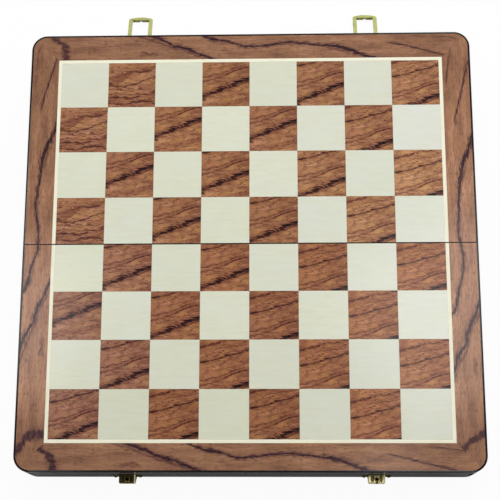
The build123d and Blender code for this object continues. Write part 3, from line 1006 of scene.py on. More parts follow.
@dataclass(frozen=True)
class CatchBrass(Finish):
    """Brass of a catch, with a painted highlight on its top and dark brass in its pressed
    pits.

    The highlight share, from 0 to 1, is how much of its top carries the painted highlight,
    so that one catch is painted lit and the other shaded. Its right edge and the two dots by
    its hole carry a painted glint on every catch. Places are measured from the middle of the
    hole, to the right and outward, and a pit lies on each side of it.
    """

    middle_x: float
    painted_highlight: float
    # rubbed is the colour of the painted highlight; dull is the plain brass, partly tarnish
    # and partly painted shade.
    rubbed: Triple = (252, 240, 186)
    dull: Triple = (112, 100, 50)
    tarnish: float = 0.7
    roughness: float = 0.2
    tarnish_roughness: float = 0.1
    relief: float = 0.12 * MM
    dot_rise: float = 0.35 * MM
    edge_bend: float = 420.0
    hole_y: float = -209.2 * MM
    hole_reach: float = 1.9 * MM
    slot_half: float = 0.8 * MM
    slot_fade: float = 0.4 * MM
    pit_place: tuple[float, float] = (3.5 * MM, -0.6 * MM)
    pit_reach: tuple[float, float] = (1.25 * MM, 2.5 * MM)
    dot_places: tuple[tuple[float, float], ...] = ((-0.7 * MM, 1.7 * MM),
                                                   (1.4 * MM, 1.7 * MM))
    dot_reach: float = 0.5 * MM
    edge_place: float = 5.5 * MM
    edge_fade: float = 0.5 * MM
    block_half: float = 6.8 * MM
    block_fade: float = 0.3 * MM

    @staticmethod
    def away(w: Painter, spot: tuple[Socket, Socket], middle: tuple[float, float],
             reach: tuple[float, float]) -> Socket:
        """Measure how far a spot lies from an oval's middle.

        Args:
            w: Painter of the material.
            spot: Place to the side and outward.
            middle: The oval's middle.
            reach: The oval's half width and half length.

        Returns:
            The distance, which is 1 on the oval.
        """
        parts = [w.math("DIVIDE", w.math("SUBTRACT", value, start), half)
                 for value, start, half in zip(spot, middle, reach)]
        return w.math("SQRT", w.math("ADD", *[w.math("MULTIPLY", part, part)
                                              for part in parts]))

    def pressed_top(self, w: Painter, across: Socket, outward: Socket,
                    patches: Socket) -> Socket:
        """Mark the top outside its pits, its hole and the slot below the hole.

        Args:
            w: Painter of the material.
            across: Place to the right.
            outward: Place outward.
            patches: Tarnish that makes the rim of a pit ragged.

        Returns:
            The mask, from 0 to 1, that places both the pressed relief and the painted
            highlight.
        """
        aside = w.math("ABSOLUTE", across)
        pit = self.away(w, (aside, outward), self.pit_place, self.pit_reach)
        ragged = w.math("MULTIPLY_ADD", patches, -0.4, pit)
        hole = self.away(w, (across, outward), (0.0, 0.0), (self.hole_reach,) * 2)
        slot_end = self.slot_half + self.slot_fade
        slot = w.math("MULTIPLY", w.remap(aside, self.slot_half, slot_end, 1.0, 0.0),
                      w.remap(outward, 0.0, self.slot_fade))
        return w.math("MULTIPLY", w.remap(ragged, 0.75, 1.2),
                      w.math("SUBTRACT", w.remap(hole, 0.8, 1.1), slot, clamp=True))

    def paint(self, w: Painter) -> None:
        """Write the material's nodes.

        Args:
            w: Painter of the material.
        """
        place = w.object_place()
        x, y, _ = w.axes(place)
        across = w.math("SUBTRACT", x, self.middle_x)
        outward = w.math("SUBTRACT", self.hole_y, y)
        age = w.place(w.effects.age, Vector=place, Tarnish=self.tarnish)
        top = self.pressed_top(w, across, outward, age["Patches"])
        # Painted glints on two dots by the hole and on the right edge, joined with the
        # painted highlight on the top.
        dots = w.math("MAXIMUM", *[
            w.remap(self.away(w, (across, outward), middle, (self.dot_reach,) * 2),
                    0.2, 1.2, 1.0, 0.0) for middle in self.dot_places])
        edge = w.remap(across, self.edge_place, self.edge_place + self.edge_fade)
        painted_highlight = w.math("MAXIMUM", w.math("MULTIPLY", top, self.painted_highlight),
                       w.math("MAXIMUM", edge, dots))
        on_block = w.remap(w.math("ABSOLUTE", across), self.block_half,
                           self.block_half + self.block_fade, 1.0, 0.0)
        # The brass runs from the dull colour to the colour of the painted highlight.
        w.paint(Metallic=1.0,
                Base_Color=w.blend(w.math("MULTIPLY", painted_highlight, on_block), linear(self.dull),
                                   linear(self.rubbed)),
                Roughness=w.math("MULTIPLY_ADD", age["Patches"], self.tarnish_roughness,
                                 self.roughness))
        rub_share = 0.05
        pressed = w.math("MULTIPLY_ADD", age["Rubs"], rub_share, top)
        height = w.math("MULTIPLY_ADD", dots, self.dot_rise,
                        w.math("MULTIPLY", pressed, self.relief))
        turned = w.math("MAXIMUM", w.math("SUBTRACT", across, self.edge_place), 0.0)
        drop = w.math("MULTIPLY", w.math("MULTIPLY", turned, turned), self.edge_bend)
        w.relief(w.math("SUBTRACT", height, drop), strength=1.0, distance=1.0)


# The dark veneers of the squares and of the border. Each border strip has its own figure.
SQUARE_VENEER = FiguredVeneer(
    "figured_squares", SQUARE_FIGURE, light=(197, 143, 104), middle=(174, 119, 85),
    dark=(126, 76, 54), golden=(190, 140, 86), line_color=(90, 44, 38),
    band_color=(36, 21, 24), knots=KNOT_FIGURE, pores=1.0, strands=0.6, fibre=0.62)
BORDER_VENEER = FiguredVeneer(
    "border", BORDER_FIGURE, light=(176, 130, 98), middle=(153, 109, 84),
    dark=(122, 84, 64), golden=(160, 116, 82), line_color=(88, 54, 52),
    band_color=(52, 32, 42), wobble=0.06, fringe=0.12, strands=0.12, pores=0.7,
    refraction=1.42, fibre=0.4, breaks=0.6)


# ---------------------------------------------------------------------------- mesh making
def finish_piece(piece: bpy.types.Object, body: Body, node: str) -> None:
    """Attach a finished piece to its body and hide the CAD node that it replaces.

    Args:
        piece: The piece, with its place in its mesh.
        body: The body that it rides on.
        node: The CAD node that it replaces.
    """
    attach(piece, body.value)
    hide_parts(node)


def merged_copy(node: str, name: str) -> bpy.types.Object:
    """Copy a CAD node's mesh with its loose triangles joined.

    Args:
        node: Name of the CAD node.
        name: Name of the new piece.

    Returns:
        The new object.
    """
    touching, flat = 1e-6, math.radians(0.5)
    work = bmesh.new()
    work.from_mesh(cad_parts[node].data)
    for face in work.faces:
        face.material_index = 0
    bmesh.ops.remove_doubles(work, verts=work.verts, dist=touching)
    bmesh.ops.dissolve_limit(work, angle_limit=flat, verts=work.verts, edges=work.edges)
    bmesh.ops.recalc_face_normals(work, faces=work.faces)
    mesh = bpy.data.meshes.new(name)
    work.to_mesh(mesh)
    work.free()
    return new_object(name, mesh)


def shade_with_edges(piece: bpy.types.Object, sharp: float) -> None:
    """Shade a piece smoothly, but for its sharp edges.

    Args:
        piece: The piece.
        sharp: Smallest angle in degrees that still shades as an edge.
    """
    piece.data.shade_smooth()
    piece.data.set_sharp_from_angle(angle=math.radians(sharp))


def smooth_copy(node: str, body: Body, finish: bpy.types.Material,
                ease: float = 0.0) -> None:
    """Stand a smoothly shaded copy in for a CAD node.

    Args:
        node: Name of the CAD node.
        body: The body that it rides on.
        finish: Its material.
        ease: Width of the rounding on its sharp edges, in metres.
    """
    piece = merged_copy(node, f"{node}_eased")
    if ease:
        bevel = piece.modifiers.new("ease", "BEVEL")
        bevel.width = ease
        bevel.segments = 2
        bevel.limit_method = "ANGLE"
        bevel.angle_limit = math.radians(35)
        bevel.use_clamp_overlap = True
        bake_modifiers(piece)
    shade_with_edges(piece, 50.0)
    weighted = piece.modifiers.new("flat_faces", "WEIGHTED_NORMAL")
    weighted.keep_sharp = True
    bake_modifiers(piece)
    piece.data.materials.append(finish)
    finish_piece(piece, body, node)
    LOG.info("%s eased", node)


def bake_modifiers(piece: bpy.types.Object) -> None:
    """Turn a piece's modifiers into plain mesh.

    Args:
        piece: The piece.
    """
    bpy.context.view_layer.update()
    graph = bpy.context.evaluated_depsgraph_get()
    mesh = bpy.data.meshes.new_from_object(piece.evaluated_get(graph))
    mesh.name = piece.name
    piece.modifiers.clear()
    piece.data = mesh


def connected_parts(faces: Iterable[bmesh.types.BMFace]) -> list[list[bmesh.types.BMFace]]:
    """Sort faces into the parts that hang together.

    Args:
        faces: The faces.

    Returns:
        One list of faces for each part.
    """
    waiting = set(faces)
    parts = []
    while waiting:
        part, reached = [], [waiting.pop()]
        while reached:
            face = reached.pop()
            part.append(face)
            for edge in face.edges:
                for other in edge.link_faces:
                    if other in waiting:
                        waiting.remove(other)
                        reached.append(other)
        parts.append(part)
    return parts


def points_object(name: str, places: Sequence[Vector],
                  marks: dict[str, Sequence[Sequence[float]]]) -> bpy.types.Object:
    """Make an object of loose points with vector attributes.

    Args:
        name: Name of the object.
        places: The points.
        marks: Attributes by name, one vector for each point.

    Returns:
        The object.
    """
    mesh = bpy.data.meshes.new(name)
    mesh.from_pydata([tuple(place) for place in places], [], [])
    for label, values in marks.items():
        layer = mesh.attributes.new(label, "FLOAT_VECTOR", "POINT")
        layer.data.foreach_set("vector", np.array(values, float).ravel())
    return new_object(name, mesh)


def grow(piece: bpy.types.Object, tree: bpy.types.NodeTree, **inputs: object) -> None:
    """Run a Geometry Nodes tree on a piece and keep the plain mesh.

    Args:
        piece: The piece whose mesh the tree starts from.
        tree: The tree.
        inputs: Its named inputs, with spaces written as underscores.
    """
    modifier = piece.modifiers.new("grow", "NODES")
    modifier.node_group = tree
    wanted = {label.replace("_", " "): value for label, value in inputs.items()}
    for item in tree.interface.items_tree:
        if item.item_type == "SOCKET" and item.in_out == "INPUT" and item.name in wanted:
            modifier[item.identifier] = wanted[item.name]
    bake_modifiers(piece)


class PointTree:
    """Geometry Nodes tree that lays one solid on every marked point."""

    def __init__(self, name: str, sizes: Sequence[str]) -> None:
        """Make the tree with its named inputs.

        Args:
            name: Name of the tree.
            sizes: Names of its sizes. It also takes the points and the finish.
        """
        self.tree = bpy.data.node_groups.new(name, "GeometryNodeTree")
        for label, way, kind in (("Geometry", "INPUT", "Geometry"),
                                 *[(size, "INPUT", "Float") for size in sizes],
                                 ("Finish", "INPUT", "Material"),
                                 ("Geometry", "OUTPUT", "Geometry")):
            self.tree.interface.new_socket(label, in_out=way, socket_type=f"NodeSocket{kind}")
        self.w = NodeWriter(self.tree)
        self.given = self.w.add("NodeGroupInput").outputs

    def mark(self, name: str) -> Socket:
        """Read a named vector attribute."""
        return self.w.add("GeometryNodeInputNamedAttribute", {"Name": name},
                          data_type="FLOAT_VECTOR").outputs["Attribute"]

    def raise_top(self, mesh: Socket, top: Socket | bool, rise: Number,
                  ratio: Number) -> tuple[Socket, Socket]:
        """Raise a solid's top face by one ring and scale it.

        Args:
            mesh: The solid.
            top: Selection of its top face.
            rise: How far the ring rises.
            ratio: Size of the new ring over the last one.

        Returns:
            The new solid and the selection of its top face.
        """
        raised = self.w.add("GeometryNodeExtrudeMesh",
                            {"Mesh": mesh, "Selection": top, "Offset": (0.0, 0.0, 1.0),
                             "Offset Scale": rise}, mode="FACES").outputs
        scaled = self.w.add("GeometryNodeScaleElements",
                            {"Geometry": raised["Mesh"], "Selection": raised["Top"],
                             "Scale": ratio})
        return scaled.outputs[0], raised["Top"]

    def lay(self, solid: Socket, control: str, mark: str) -> Socket:
        """Lay the solid on every point and make the copies real.

        Args:
            solid: The solid.
            control: The laying node's input that differs from point to point.
            mark: The points' attribute that goes into it.

        Returns:
            One plain mesh.
        """
        copies = self.w.add("GeometryNodeInstanceOnPoints",
                            {"Points": self.given["Geometry"], "Instance": solid,
                             control: self.mark(mark)})
        return self.w.add("GeometryNodeRealizeInstances", {0: copies.outputs[0]}).outputs[0]

    def dress(self, mesh: Socket) -> None:
        """Give the mesh its finish and send it out.

        Args:
            mesh: The mesh.
        """
        dressed = self.w.add("GeometryNodeSetMaterial",
                             {"Geometry": mesh, "Material": self.given["Finish"]})
        self.w.add("NodeGroupOutput", {0: dressed.outputs[0]})


# -------------------------------------------------------------------------- veneer tiles
class TileTree(PointTree):
    """Geometry Nodes tree that lays eased veneer tiles, each with its place on the leaf."""

    PLACE = "tile_place"

    def __init__(self) -> None:
        """Build the tree."""
        super().__init__("veneer_tiles", ("Side", "Thickness", "Ease"))
        w = self.w
        side = self.given["Side"]
        here = w.add("GeometryNodeInputPosition").outputs[0]
        share = w.add("ShaderNodeVectorMath", {0: here, 1: w.vector(side, side, 1.0)},
                      operation="DIVIDE").outputs[0]
        local = w.stretch(share, (1.0, 1.0, 0.0), (0.5, 0.5, 0.0))
        tile = self.keep(self.tile(), self.PLACE, "FLOAT_VECTOR", local)
        whole = self.lay(tile, "Scale", TILE_SCALE)
        spot = w.add("ShaderNodeVectorMath",
                     {0: self.mark(self.PLACE), 1: self.mark(LEAF_WINDOW)},
                     operation="ADD").outputs[0]
        self.dress(self.keep(whole, LEAF_MAP, "FLOAT2", spot))

    def keep(self, mesh: Socket, name: str, kind: str, value: Socket) -> Socket:
        """Keep a value on every corner of a mesh.

        Args:
            mesh: The mesh.
            name: Name of the attribute.
            kind: Blender's name of its type.
            value: The value.

        Returns:
            The mesh with the attribute.
        """
        return self.w.add("GeometryNodeStoreNamedAttribute",
                          {"Geometry": mesh, "Name": name, "Value": value},
                          data_type=kind, domain="CORNER").outputs[0]

    def tile(self) -> Socket:
        """Make one tile.

        Returns:
            A slab whose upper edges are eased.
        """
        w = self.w
        side, thickness, ease = (self.given[name] for name in ("Side", "Thickness", "Ease"))
        slab = w.math("SUBTRACT", thickness, ease)
        cube = w.add("GeometryNodeMeshCube", {"Size": w.vector(side, side, slab)})
        middle = w.vector(0.0, 0.0, w.math("MULTIPLY", slab, 0.5))
        lifted = w.add("GeometryNodeTransform",
                       {"Geometry": cube.outputs["Mesh"], "Translation": middle})
        upward = w.axes(w.add("GeometryNodeInputNormal").outputs[0])[2]
        taper = w.math("DIVIDE", w.math("MULTIPLY", ease, -2.0), side)
        return self.raise_top(lifted.outputs[0], w.math("GREATER_THAN", upward, 0.5), ease,
                              w.math("ADD", taper, 1.0))[0]


# ---------------------------------------------------------------------------------- board
class Strip(Enum):
    """The four border strips, each with the drift of its veins along the grain."""

    LEFT = ((0.0, 0.0), (10.0, 0.0))
    TOP = ((0.0, 0.0), (10.0, 0.001))
    BOTTOM = ((0.0, 0.05), (1.0, 0.05), (2.5, 0.25), (3.9, 0.15), (7.2, 0.2), (10.0, 0.2))
    RIGHT = ((0.0, 0.1), (1.0, 0.1), (2.5, 0.45), (3.9, 0.5), (7.2, 0.35), (10.0, 0.3))

    def figure(self) -> Figure:
        """Make the strip's own figure.

        Returns:
            The border leaf's figure, moved along the grain by the strip's drift.
        """
        drifted = BORDER_FIGURE.drifted(self.value)
        if self not in OWN_CROSSINGS:
            return drifted
        return replace(drifted, veins=(OWN_CROSSINGS[self], *drifted.veins[1:]))


# Veins that cross these strips at their start, in place of the figure's first one.
OWN_CROSSINGS = {
    Strip.RIGHT: Vein(((0.0, 0.40), (0.13, 0.51), (0.25, 0.62), (0.38, 0.73), (0.52, 0.80),
                       (0.6, 0.83)), 0.085, 0.75, crossing=True),
    Strip.BOTTOM: Vein(((0.0, 0.40), (0.12, 0.54), (0.2, 0.68), (0.3, 0.77), (0.45, 0.82),
                        (0.6, 0.83)), 0.085, 0.85, crossing=True),
    Strip.TOP: Vein(((0.0, 0.45), (0.12, 0.58), (0.2, 0.70), (0.3, 0.76), (0.45, 0.77),
                     (0.6, 0.68)), 0.078, 0.72, crossing=True),
}

# Painted sheen along the side strips, where a soft reflection is painted as paler wood:
# place along the strip in squares, and extra brightness.
PAINTED_SHEEN = {
    Strip.LEFT: ((0.0, 0.0), (0.8, 0.0), (1.5, 0.25), (4.1, 0.28), (5.0, 0.18), (5.8, 0.08),
                 (6.6, 0.0), (10.0, 0.0)),
    Strip.RIGHT: ((0.0, 0.0), (0.9, 0.06), (1.7, 0.24), (5.7, 0.28), (7.3, 0.2), (8.1, 0.15),
                  (8.9, 0.03), (10.0, 0.0)),
}

# Height of the dark band on the left edge of each dark square, in squares, row by row from
# the far side. It falls from leaf to leaf as the flitch is sliced.
BAND_HEIGHTS = (
    0.30, 0.20, 0.07, -0.20,
    0.30, 0.31, 0.25, -0.20,
    0.27, 0.13, -0.03, -0.33,
    0.30, 0.12, 0.02, -0.27,
    0.10, 0.04, -0.34, -0.30,
    0.33, 0.03, -0.30, -0.37,
    -0.03, -0.30, -0.37, -0.38,
    -0.10, -0.30, -0.22, -0.42,
)

# Column and row of each square that is cut from the leaf with the knot.
KNOT_SQUARES = ((1, 0), (0, 1), (0, 3))


@dataclass(frozen=True)
class ToneAndPaintedLight:
    """How squares differ from their leaf's usual colour.

    Each triple is extra brightness, warmth and redness, as shares: base everywhere, and the
    others growing towards one edge of the board. The brightness gained towards the right is
    a painted sheen, and the brightness lost towards the near side a painted shade. luck is
    how far one square's brightness and warmth may lie from the next one's.
    """

    base: Triple = (0.0, 0.0, 0.0)
    rightward_sheen: Triple = (0.0, 0.0, 0.0)
    leftward: Triple = (0.0, -0.1, 0.0)
    nearward_shade: Triple = (-0.04, 0.0, 0.0)
    luck: tuple[float, float] = (0.04, 0.03)
    seed: int = 31

    def at(self, column: int, row: int) -> Triple:
        """Work out the shift of one square.

        Args:
            column: Column from the left.
            row: Row from the far side.

        Returns:
            Its extra brightness, warmth and redness.
        """
        seed = self.seed + 8 * row + column
        brighter, warmer = np.random.default_rng(seed).uniform(-1.0, 1.0, 2) * self.luck
        shares = (1.0, max(0, column - 4) / 3, max(0.0, 1.0 - column / 2),
                  max(0, row - 5) / 2)
        tone = np.dot(shares, (self.base, self.rightward_sheen, self.leftward, self.nearward_shade))
        return tuple(tone + (brighter, warmer, 0.0))


# Shifts of the dark squares in four parts of the board, and of the light squares, with
# painted sheen towards the right and painted shade towards the near side.
DARK_FAR = ToneAndPaintedLight(rightward_sheen=(0.16, -0.1, -0.07))
DARK_BY_FOLD = ToneAndPaintedLight(rightward_sheen=(0.46, -0.25, -0.22))
DARK_NEAR_LEFT = ToneAndPaintedLight(base=(0.0, -0.14, -0.02))
DARK_NEAR = ToneAndPaintedLight(base=(0.0, 0.07, 0.06), rightward_sheen=(0.2, 0.06, 0.0))
LIGHT = ToneAndPaintedLight(rightward_sheen=(0.015, -0.07, 0.0), leftward=(0.0, 0.0, 0.0),
                  nearward_shade=(-0.05, 0.02, 0.0), luck=(0.012, 0.022))
LIGHT_FIRST_ROW = replace(LIGHT, base=(-0.04, 0.0, 0.0))


def tone_and_painted_light(column: int, row: int, light: bool) -> ToneAndPaintedLight:
    """Choose the shift for a square's part of the board.

    Args:
        column: Column from the left.
        row: Row from the far side.
        light: A light square.

    Returns:
        The shift.
    """
    if light:
        return LIGHT if row else LIGHT_FIRST_ROW
    if row < 4:
        return DARK_FAR if row < 2 else DARK_BY_FOLD
    return DARK_NEAR_LEFT if column < 2 else DARK_NEAR


@dataclass
class Board:
    """The playing face: its squares and its mitred borders."""

    effects: Effects
    gap: float = 0.04 * MM
    ease: float = 0.04 * MM
    rows: int = 4
    columns: int = 8
    fold_y: float = -15.165 * MM
    leaf_half: float = 4.7
    outer_margin: float = 0.06
    inner_edge: float = 4.07
    light_step: tuple[float, float] = (1.7, 2.3)

    def build(self) -> None:
        """Build and dress every veneer of the board."""
        dark = SQUARE_VENEER.build(self.effects)
        strips = {}
        for strip in Strip:
            veneer = replace(BORDER_VENEER, name=f"border_{strip.name.lower()}",
                             figure=strip.figure(), painted_sheen=PAINTED_SHEEN.get(strip, ()))
            strips[strip] = veneer.build(self.effects)
        pale = PaleVeneer("pale_squares", (227, 229, 207), (221, 222, 198),
                          (224, 228, 213)).build(self.effects)
        tiles = TileTree()
        for half in Half:
            self.lay_squares(tiles, half, True, pale)
            self.lay_squares(tiles, half, False, dark)
            self.cut_border(half, strips)

    def cut_border(self, half: Half, finishes: dict[Strip, bpy.types.Material]) -> None:
        """Cut the three mitred strips of one half from the border leaves.

        Args:
            half: The half.
            finishes: The material of each strip.
        """
        node = half.node("border_veneer")
        piece = merged_copy(node, f"{node}_strips")
        work = bmesh.new()
        work.from_mesh(piece.data)
        leaf = work.loops.layers.uv.new(LEAF_MAP)
        long_strip = Strip.TOP if half is Half.FAR else Strip.BOTTOM
        order = (Strip.LEFT, long_strip, Strip.RIGHT)
        parts = connected_parts(work.faces)
        parts.sort(key=lambda part: sum(face.calc_center_median().x for face in part)
                   / len(part))
        for index, (strip, part) in enumerate(zip(order, parts)):
            for face in part:
                face.material_index = index
                for corner in face.loops:
                    corner[leaf].uv = self.border_place(strip, corner.vert.co)
        work.to_mesh(piece.data)
        work.free()
        for strip in order:
            piece.data.materials.append(finishes[strip])
        finish_piece(piece, half.body, node)
        LOG.info("%s cut", piece.name)

    def border_place(self, strip: Strip, point: Vector) -> tuple[float, float]:
        """Find a border point's place on its leaf.

        Args:
            strip: The strip that the point is on.
            point: The point, in metres.

        Returns:
            Place along and across the grain, in squares.
        """
        right = point.x / SQUARE
        up = (point.y - self.fold_y) / SQUARE
        outer = self.leaf_half - self.outer_margin
        return {Strip.LEFT: (up + self.leaf_half, right + outer),
                Strip.RIGHT: (up + self.leaf_half, right - self.inner_edge),
                Strip.TOP: (right + self.leaf_half, outer - up),
                Strip.BOTTOM: (right + self.leaf_half, -up - self.inner_edge)}[strip]

    def lay_squares(self, tiles: TileTree, half: Half, light: bool,
                    finish: bpy.types.Material) -> None:
        """Lay the squares of one colour on one half.

        Args:
            tiles: The tree that makes the tiles.
            half: The half. Its rows and columns are counted from its fold and its left as
                the player behind it sees them.
            light: Light squares rather than dark ones.
            finish: Their material.
        """
        node = half.node("light_squares" if light else "dark_squares")
        low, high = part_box(node)
        side = half.value
        fold, outer = (low.y, high.y) if half is Half.FAR else (high.y, low.y)
        places, windows, scales, tones_and_light = [], [], [], []
        for row in range(self.rows):
            far_edge = outer - side * (self.rows - 1 - row) * SQUARE
            near_edge = fold if row == 0 else far_edge - side * SQUARE
            deep = abs(far_edge - near_edge) - self.gap
            for column in range(self.columns):
                if ((column + row) % 2 == 1) != light:
                    continue
                x = (low.x + high.x) / 2 + side * (column - (self.columns - 1) / 2) * SQUARE
                places.append(Vector((x, (near_edge + far_edge) / 2, low.z)))
                scales.append((1.0, deep / (SQUARE - self.gap), 1.0))
                spot = ((column, self.rows - 1 - row) if half is Half.FAR
                        else (self.columns - 1 - column, self.rows + row))
                windows.append(self.window(*spot, light))
                # Each square's tone, with its painted sheen and painted shade.
                tones_and_light.append(tone_and_painted_light(*spot, light).at(*spot))
        piece = points_object(f"{node}_tiles", places,
                              {LEAF_WINDOW: windows, TILE_SCALE: scales,
                               TILE_TONE_AND_LIGHT: tones_and_light})
        grow(piece, tiles.tree, Side=SQUARE - self.gap, Thickness=high.z - low.z,
             Ease=self.ease, Finish=finish)
        finish_piece(piece, half.body,
                     node)
        LOG.info("%s laid", piece.name)

    def window(self, column: int, row: int, light: bool) -> Triple:
        """Find where on the leaf a square is cut.

        Args:
            column: Column from the left.
            row: Row from the far side.
            light: A light square.

        Returns:
            The window's corner on the leaf, in squares.
        """
        if light:
            step_x, step_y = self.light_step
            return (column * step_x, row * step_y, 0.0)
        if (column, row) in KNOT_SQUARES:
            return (0.0, -KNOT_PLACE, 0.0)
        return (0.0, -BAND_HEIGHTS[row * self.rows + column // 2], 0.0)


# ------------------------------------------------------------------------------ fasteners
class FastenerTree(PointTree):
    """Geometry Nodes tree that drives nails or screws in at marked points.

    A fastener is raised ring by ring from the tip of its shank. Its head is domed, or
    flat with a slot, and its seat is at the marked point. The tip is given as shares of the
    shank's radius, and the dome's steps are angles in degrees.
    """

    SIDES = 24
    TIP_RADIUS = 0.6
    TIP_HEIGHT = 0.8
    DOME_STEPS = (12.0, 30.0, 48.0, 64.0, 78.0)

    def __init__(self, name: str, slotted: bool) -> None:
        """Build the tree.

        Args:
            name: Name of the tree.
            slotted: A countersunk head with a slot rather than a domed one.
        """
        super().__init__(name, ("Head Radius", "Head Height", "Shank Radius",
                                "Shank Length", "Slot Width", "Slot Depth"))
        solid = self.countersunk() if slotted else self.domed()
        self.dress(self.lay(solid, "Rotation", TURN))

    def shank(self, seat: Number) -> tuple[Socket, Socket]:
        """Raise the shank from its tip to a height below the marked point.

        Args:
            seat: Depth of the head's lowest ring below the point.

        Returns:
            The mesh and the selection of its top face.
        """
        w = self.w
        radius, length = self.given["Shank Radius"], self.given["Shank Length"]
        disc = w.add("GeometryNodeMeshCircle",
                     {"Vertices": self.SIDES,
                      "Radius": w.math("MULTIPLY", radius, self.TIP_RADIUS)},
                     fill_type="NGON")
        start = w.vector(0.0, 0.0, w.math("MULTIPLY", length, -1.0))
        base = w.add("GeometryNodeTransform",
                     {"Geometry": disc.outputs["Mesh"], "Translation": start})
        tip = w.math("MULTIPLY", radius, self.TIP_HEIGHT)
        state = self.raise_top(base.outputs[0], True, tip, 1 / self.TIP_RADIUS)
        rest = w.math("SUBTRACT", w.math("SUBTRACT", length, tip), seat)
        return self.raise_top(*state, rest, 1.0)

    def domed(self) -> Socket:
        """Make a nail.

        Returns:
            A solid with a low round head.
        """
        w, given = self.w, self.given
        flare = w.math("DIVIDE", given["Head Radius"], given["Shank Radius"])
        state = self.raise_top(*self.shank(0.0), 0.0, flare)
        last = 0.0
        for step in map(math.radians, self.DOME_STEPS):
            rise = w.math("MULTIPLY", given["Head Height"], math.sin(step) - math.sin(last))
            state = self.raise_top(*state, rise, math.cos(step) / math.cos(last))
            last = step
        return state[0]

    def countersunk(self) -> Socket:
        """Make a screw.

        Returns:
            A solid with a flat slotted head.
        """
        w, given = self.w, self.given
        flare = w.math("DIVIDE", given["Head Radius"], given["Shank Radius"])
        head = self.raise_top(*self.shank(given["Head Height"]), given["Head Height"], flare)
        past_head = 3.0
        slot = w.vector(w.math("MULTIPLY", given["Head Radius"], past_head),
                        given["Slot Width"], w.math("MULTIPLY", given["Slot Depth"], 2.0))
        cutter = w.add("GeometryNodeMeshCube", {"Size": slot})
        return w.add("GeometryNodeMeshBoolean",
                     {"Mesh 1": head[0], "Mesh 2": cutter.outputs["Mesh"]},
                     operation="DIFFERENCE").outputs["Mesh"]


@dataclass
class Fasteners:
    """The countersunk screws of the hinges and the round nails of the latches."""

    effects: Effects
    hinge_places: tuple[float, float] = (-110.0 * MM, 110.0 * MM)
    screw_reach: float = 12.0 * MM
    screw_head: float = 1.9 * MM
    screw_shank: float = 1.1 * MM
    screw_length: float = 9.0 * MM
    slot_width: float = 0.5 * MM
    slot_depth: float = 0.35 * MM
    first_turn: float = 0.4
    turn_step: float = 0.7
    latch_places: tuple[float, float] = (-101.0 * MM, 104.0 * MM)
    nail_reach: float = 10.2 * MM
    nail_head: float = 1.5 * MM
    nail_rise: float = 0.9 * MM
    nail_shank: float = 0.7 * MM
    nail_length: float = 8.8 * MM

    def build(self) -> None:
        """Make every nail and screw."""
        brass, steel, shaded_brass = (metal.build(self.effects) for metal in (
            Metal("nail_brass", (184, 176, 100), (130, 116, 54), 0.24, 0.5),
            Metal("plated_screws", (200, 192, 168), (140, 126, 98), 0.24, 0.4),
            Metal("shaded_nail_brass", (104, 92, 50), (62, 52, 28), 0.24, 0.7)))
        screws = FastenerTree("countersunk_screws", slotted=True)
        nails = FastenerTree("round_nails", slotted=False)
        for half in Half:
            self.drive_screws(screws, half, steel)
        # The catch nails take a darker copy of the nail brass: painted shade.
        self.drive_nails(nails, "catch_nails", Half.NEAR, shaded_brass)
        self.drive_nails(nails, "latch_plate_nails", Half.FAR, brass)

    def drive_screws(self, tree: FastenerTree, half: Half,
                     finish: bpy.types.Material) -> None:
        """Drive the countersunk screws of one half's hinge leaves.

        Args:
            tree: The tree that makes the screws.
            half: The half.
            finish: Their material.
        """
        node = half.node("hinge_screws")
        low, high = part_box(node)
        places = [Vector((hinge + side * self.screw_reach, (low.y + high.y) / 2, low.z))
                  for hinge in self.hinge_places for side in (-1, 1)]
        turns = [(math.pi, 0.0, self.turn_step * number + self.first_turn)
                 for number in range(len(places))]
        piece = points_object(f"{node}_slotted", places, {TURN: turns})
        grow(piece, tree.tree, Head_Radius=self.screw_head,
             Head_Height=self.screw_head - self.screw_shank, Shank_Radius=self.screw_shank,
             Shank_Length=self.screw_length, Slot_Width=self.slot_width,
             Slot_Depth=self.slot_depth, Finish=finish)
        finish_piece(piece, half.body, node)
        LOG.info("%s driven", piece.name)

    def drive_nails(self, tree: FastenerTree, node: str, half: Half,
                    finish: bpy.types.Material) -> None:
        """Drive the round-head nails of one side's latch parts.

        Args:
            tree: The tree that makes the nails.
            node: The CAD node that they stand for.
            half: The half that they are driven into.
            finish: Their material.
        """
        low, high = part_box(node)
        outward = half.value
        seat = (high.y if half is Half.FAR else low.y) - outward * self.nail_rise
        places = [Vector((latch + side * self.nail_reach, seat, (low.z + high.z) / 2))
                  for latch in self.latch_places for side in (-1, 1)]
        turns = [(-outward * math.pi / 2, 0.0, 0.0)] * len(places)
        piece = points_object(f"{node}_round", places, {TURN: turns})
        grow(piece, tree.tree, Head_Radius=self.nail_head, Head_Height=self.nail_rise,
             Shank_Radius=self.nail_shank, Shank_Length=self.nail_length, Finish=finish)
        shade_with_edges(piece, 40.0)
        finish_piece(piece, half.body, node)
        LOG.info("%s driven", piece.name)


# --------------------------------------------------------------------------------- studio
@dataclass(frozen=True)
class Lamp:
    """One soft lamp that points at the box.

    place and size, its width and depth, are in metres, and power is in watts.
    """

    name: str
    place: Triple
    size: tuple[float, float]
    power: float

    def hang(self) -> None:
        """Add the lamp to the scene."""
        data = bpy.data.lights.new(self.name, "AREA")
        data.shape = "RECTANGLE"
        data.size, data.size_y = self.size
        data.energy = self.power
        lamp = new_object(self.name, data)
        lamp.location = self.place
        lamp.rotation_euler = (-Vector(self.place)).to_track_quat("-Z", "Y").to_euler()


